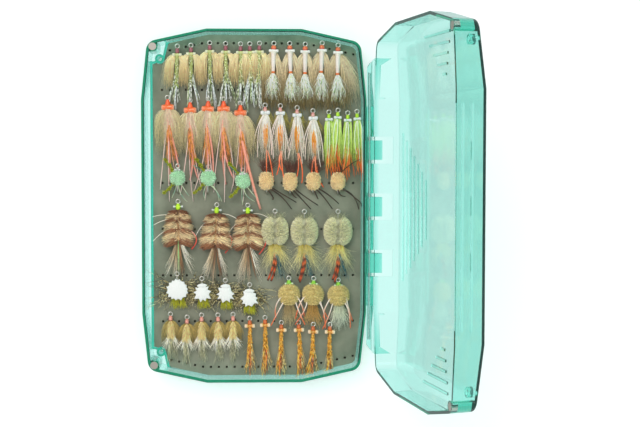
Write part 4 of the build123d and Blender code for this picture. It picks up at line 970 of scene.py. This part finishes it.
# each pattern: how to dress it, shank length, body height, and (across, up the box) of each hook's eye in mm;
# the crab bodies add width, length and how far the middle is behind the eye
patterns = {
    "tan_shrimp": (tanShrimp, 20.5, 0, [(-40.7, 84.8), (-33.5, 85.3), (-23.6, 86.6), (-15.2, 86.3), (-7.3, 86.1),
                                        (-2.4, 86.2), (2.8, 86.5)]),
    "pearl_shrimp": (pearlShrimp, 20.5, 0, [(10.4, 86.5), (18.8, 86.5), (27.0, 86.1), (36.0, 86.8), (44.5, 85.7)]),
    "pink_leg_shrimp": (pinkLegShrimp, 20.0, 0, [(-46.0, 57.7), (-34.1, 56.2), (-24.4, 56.9), (-16.3, 56.9),
                                                 (-7.5, 54.8)]),
    "white_wing_shrimp": (whiteWingShrimp, 18.0, 0, [(5.7, 53.8), (13.8, 53.5), (22.7, 52.5), (31.1, 50.9)]),
    "chartreuse_shrimp": (chartreuseShrimp, 17.5, 0, [(39.6, 50.2), (44.5, 51.2), (49.7, 49.8), (54.6, 50.5)]),
    "mint_crab": (mintCrab, 11.5, 4.0, [(-40.8, 21.5, 8.4, 8.8, 6.1), (-24.4, 21.0, 8.4, 8.8, 5.7),
                                        (-6.4, 19.3, 8.4, 8.8, 5.5)]),
    "tan_crab": (tanCrab, 10.5, 4.2, [(6.1, 20.0, 8.0, 9.8, 6.4), (19.1, 19.6, 8.0, 9.8, 6.4),
                                      (31.7, 19.8, 8.0, 9.8, 6.4), (44.8, 19.8, 8.0, 9.8, 6.4)]),
    "striped_crab": (stripedCrab, 17.5, 0, [(-40.7, 2.7), (-20.1, 0.8), (-3.6, 0.6)]),
    "wool_crab": (woolCrab, 16.5, 6.0, [(10.9, -2.6, 14.8, 16.6, 10.6), (26.6, -2.8, 14.8, 16.6, 10.6),
                                        (44.6, -2.8, 15.6, 16.6, 10.6)]),
    "white_back_crab": (whiteBackCrab, 13.0, 4.6, [(-41.4, -36.1, 12.6, 10.8, 8.2), (-28.2, -38.6, 9.2, 8.8, 6.8),
                                                   (-15.7, -39.6, 9.2, 9.0, 6.2), (-2.7, -42.0, 9.4, 9.0, 6.4)]),
    "round_crab": (roundCrab, 13.5, 5.2, [(18.3, -38.5, 11.8, 11.8, 8.8), (31.6, -38.7, 11.8, 11.8, 8.6),
                                          (44.8, -39.6, 11.8, 11.8, 8.2)]),
    "small_shrimp": (smallShrimp, 14.0, 0, [(-45.0, -57.6), (-36.1, -59.3), (-28.4, -58.2), (-19.7, -58.2),
                                            (-11.6, -57.9)]),
    "gold_shrimp": (goldShrimp, 20.0, 0, [(-2.7, -60.1), (5.5, -59.7), (14.3, -62.4), (23.5, -62.4), (31.4, -63.4),
                                          (40.4, -63.5)]),
}

for pattern, (dress, shank, height, places) in patterns.items():
    for index, place in enumerate(places):
        fly = {"pattern": pattern, "index": index, "x": place[0], "y": place[1], "height": height,
               "yaw": chance.uniform(-1, 1) * flySet["yaw"]}
        if len(place) > 2:
            fly["width"], fly["length"], fly["behind"] = place[2:]
        hookWire(fly, shank)
        dress(fly)
    print(pattern, "dressed")


# fly materials: the tint comes from each corner's own colour, the rest from what the stuff is
tintSet = {"noise": (0.3, 0.7), "reliefDepth": 0.08}  # the part of the noise that is used; mm


def tinted(name, settings):  # tint times level, give or take the mottle's share; grain is the mottle's size in mm
    made, tree = newMaterial(name)
    tint = addNode(tree, "ShaderNodeAttribute", {"attribute_name": "tint"})
    place = addNode(tree, "ShaderNodeTexCoord")
    mottle = addNode(tree, "ShaderNodeTexNoise", {"Scale": 1 / (settings["grain"] * milli), "Detail": 2.0},
                     {"Vector": (place, "Object")})
    level = addNode(tree, "ShaderNodeMapRange",
                    {"From Min": tintSet["noise"][0], "From Max": tintSet["noise"][1],
                     "To Min": settings["level"] * (1 - settings["mottle"]),
                     "To Max": settings["level"] * (1 + settings["mottle"])}, {0: (mottle, 0)})
    color = addNode(tree, "ShaderNodeVectorMath", {"operation": "SCALE"}, {0: (tint, "Color"), "Scale": (level, 0)})
    relief = addNode(tree, "ShaderNodeBump",
                     {"Strength": settings["relief"], "Distance": tintSet["reliefDepth"] * milli},
                     {"Height": (mottle, 0)})
    body = addNode(tree, "ShaderNodeBsdfPrincipled", settings["shader"],
                   {"Base Color": (color, 0), "Normal": (relief, 0)})
    addNode(tree, "ShaderNodeOutputMaterial", {}, {0: (body, 0)})
    return made


# level makes up for the light lost between the fibres of a bunch
finishes = {
    "hair": tinted("dyedCraftFur", {"level": 1.3, "grain": 1.2, "mottle": 0.1, "relief": 0.0,
                   "shader": {"Roughness": 0.55, "Specular IOR Level": 0.35, "Sheen Weight": 0.15}}),  # soft and long
    "body": tinted("cutChenille", {"level": 1.3, "grain": 0.5, "mottle": 0.2, "relief": 0.0,
                   "shader": {"Roughness": 0.7, "Specular IOR Level": 0.25}}),  # short crinkled fibres
    "pad": tinted("trimmedWool", {"level": 1.3, "grain": 0.6, "mottle": 0.08, "relief": 0.15,
                  "shader": {"Roughness": 0.85, "Specular IOR Level": 0.15, "Sheen Weight": 0.2}}),  # matt, clipped
    "flash": tinted("pearlTinsel", {"level": 1.2, "grain": 0.8, "mottle": 0.2, "relief": 0.0,
                    "shader": {"Roughness": 0.3, "Coat Weight": 0.5}}),  # glints
    "legs": tinted("siliconeRubber", {"level": 1.1, "grain": 0.9, "mottle": 0.08, "relief": 0.05,
                   "shader": {"Roughness": 0.42, "Specular IOR Level": 0.45}}),  # smooth, a soft shine
    "thread": tinted("varnishedThread", {"level": 1.05, "grain": 0.4, "mottle": 0.1, "relief": 0.2,
                     "shader": {"Roughness": 0.4, "Coat Weight": 0.3, "Coat Roughness": 0.2}}),  # wet-looking wraps
    "eyes": tinted("enamelledLead", {"level": 1.0, "grain": 1.5, "mottle": 0.04, "relief": 0.0,
                   "shader": {"Roughness": 0.25, "Coat Weight": 0.6, "Coat Roughness": 0.08}}),  # glossy paint
    "back": tinted("cutWhiteFoam", {"level": 1.0, "grain": 0.35, "mottle": 0.03, "relief": 0.3,
                   "shader": {"Roughness": 0.75, "Specular IOR Level": 0.3}}),  # chalky, finely pitted
    "hooks": hookSteel,
}

for (pattern, kind), bundle in bundles.items():
    points = np.concatenate(bundle.points)
    sizes = np.concatenate([np.full(len(face), face.shape[1]) for face in bundle.faces])
    corners = np.concatenate([face.ravel() for face in bundle.faces])
    mesh = bpy.data.meshes.new(pattern + "_" + kind)
    mesh.vertices.add(len(points))
    mesh.vertices.foreach_set("co", points.astype(np.float32).ravel())
    mesh.loops.add(len(corners))
    mesh.loops.foreach_set("vertex_index", corners.astype(np.int32))
    mesh.polygons.add(len(sizes))
    mesh.polygons.foreach_set("loop_start", np.concatenate([[0], np.cumsum(sizes)[:-1]]).astype(np.int32))
    mesh.update(calc_edges=True)
    tint = mesh.color_attributes.new("tint", "FLOAT_COLOR", "POINT")
    tones = np.concatenate(bundle.tints)
    tint.data.foreach_set("color", np.concatenate([tones, np.ones((len(tones), 1))], 1).astype(np.float32).ravel())
    layer = mesh.uv_layers.new(name="fibre")
    layer.data.foreach_set("uv", np.concatenate(bundle.along)[corners].astype(np.float32).ravel())
    mesh.shade_smooth()
    mesh.materials.append(finishes[kind])
    piece = bpy.data.objects.new(mesh.name, mesh)
    bpy.context.scene.collection.objects.link(piece)
    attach(piece, "base")
    if kind == "hooks":
        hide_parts(pattern + "_hooks")
replaced = set()  # the first piece of each pattern's dressing stands for the CAD's
for pattern, kind in bundles:
    if kind != "hooks" and pattern not in replaced:
        replaced.add(pattern)
        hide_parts(pattern + "_dressings")
print("flies ready:", sum(len(bundle.points) for bundle in bundles.values()), "groups")
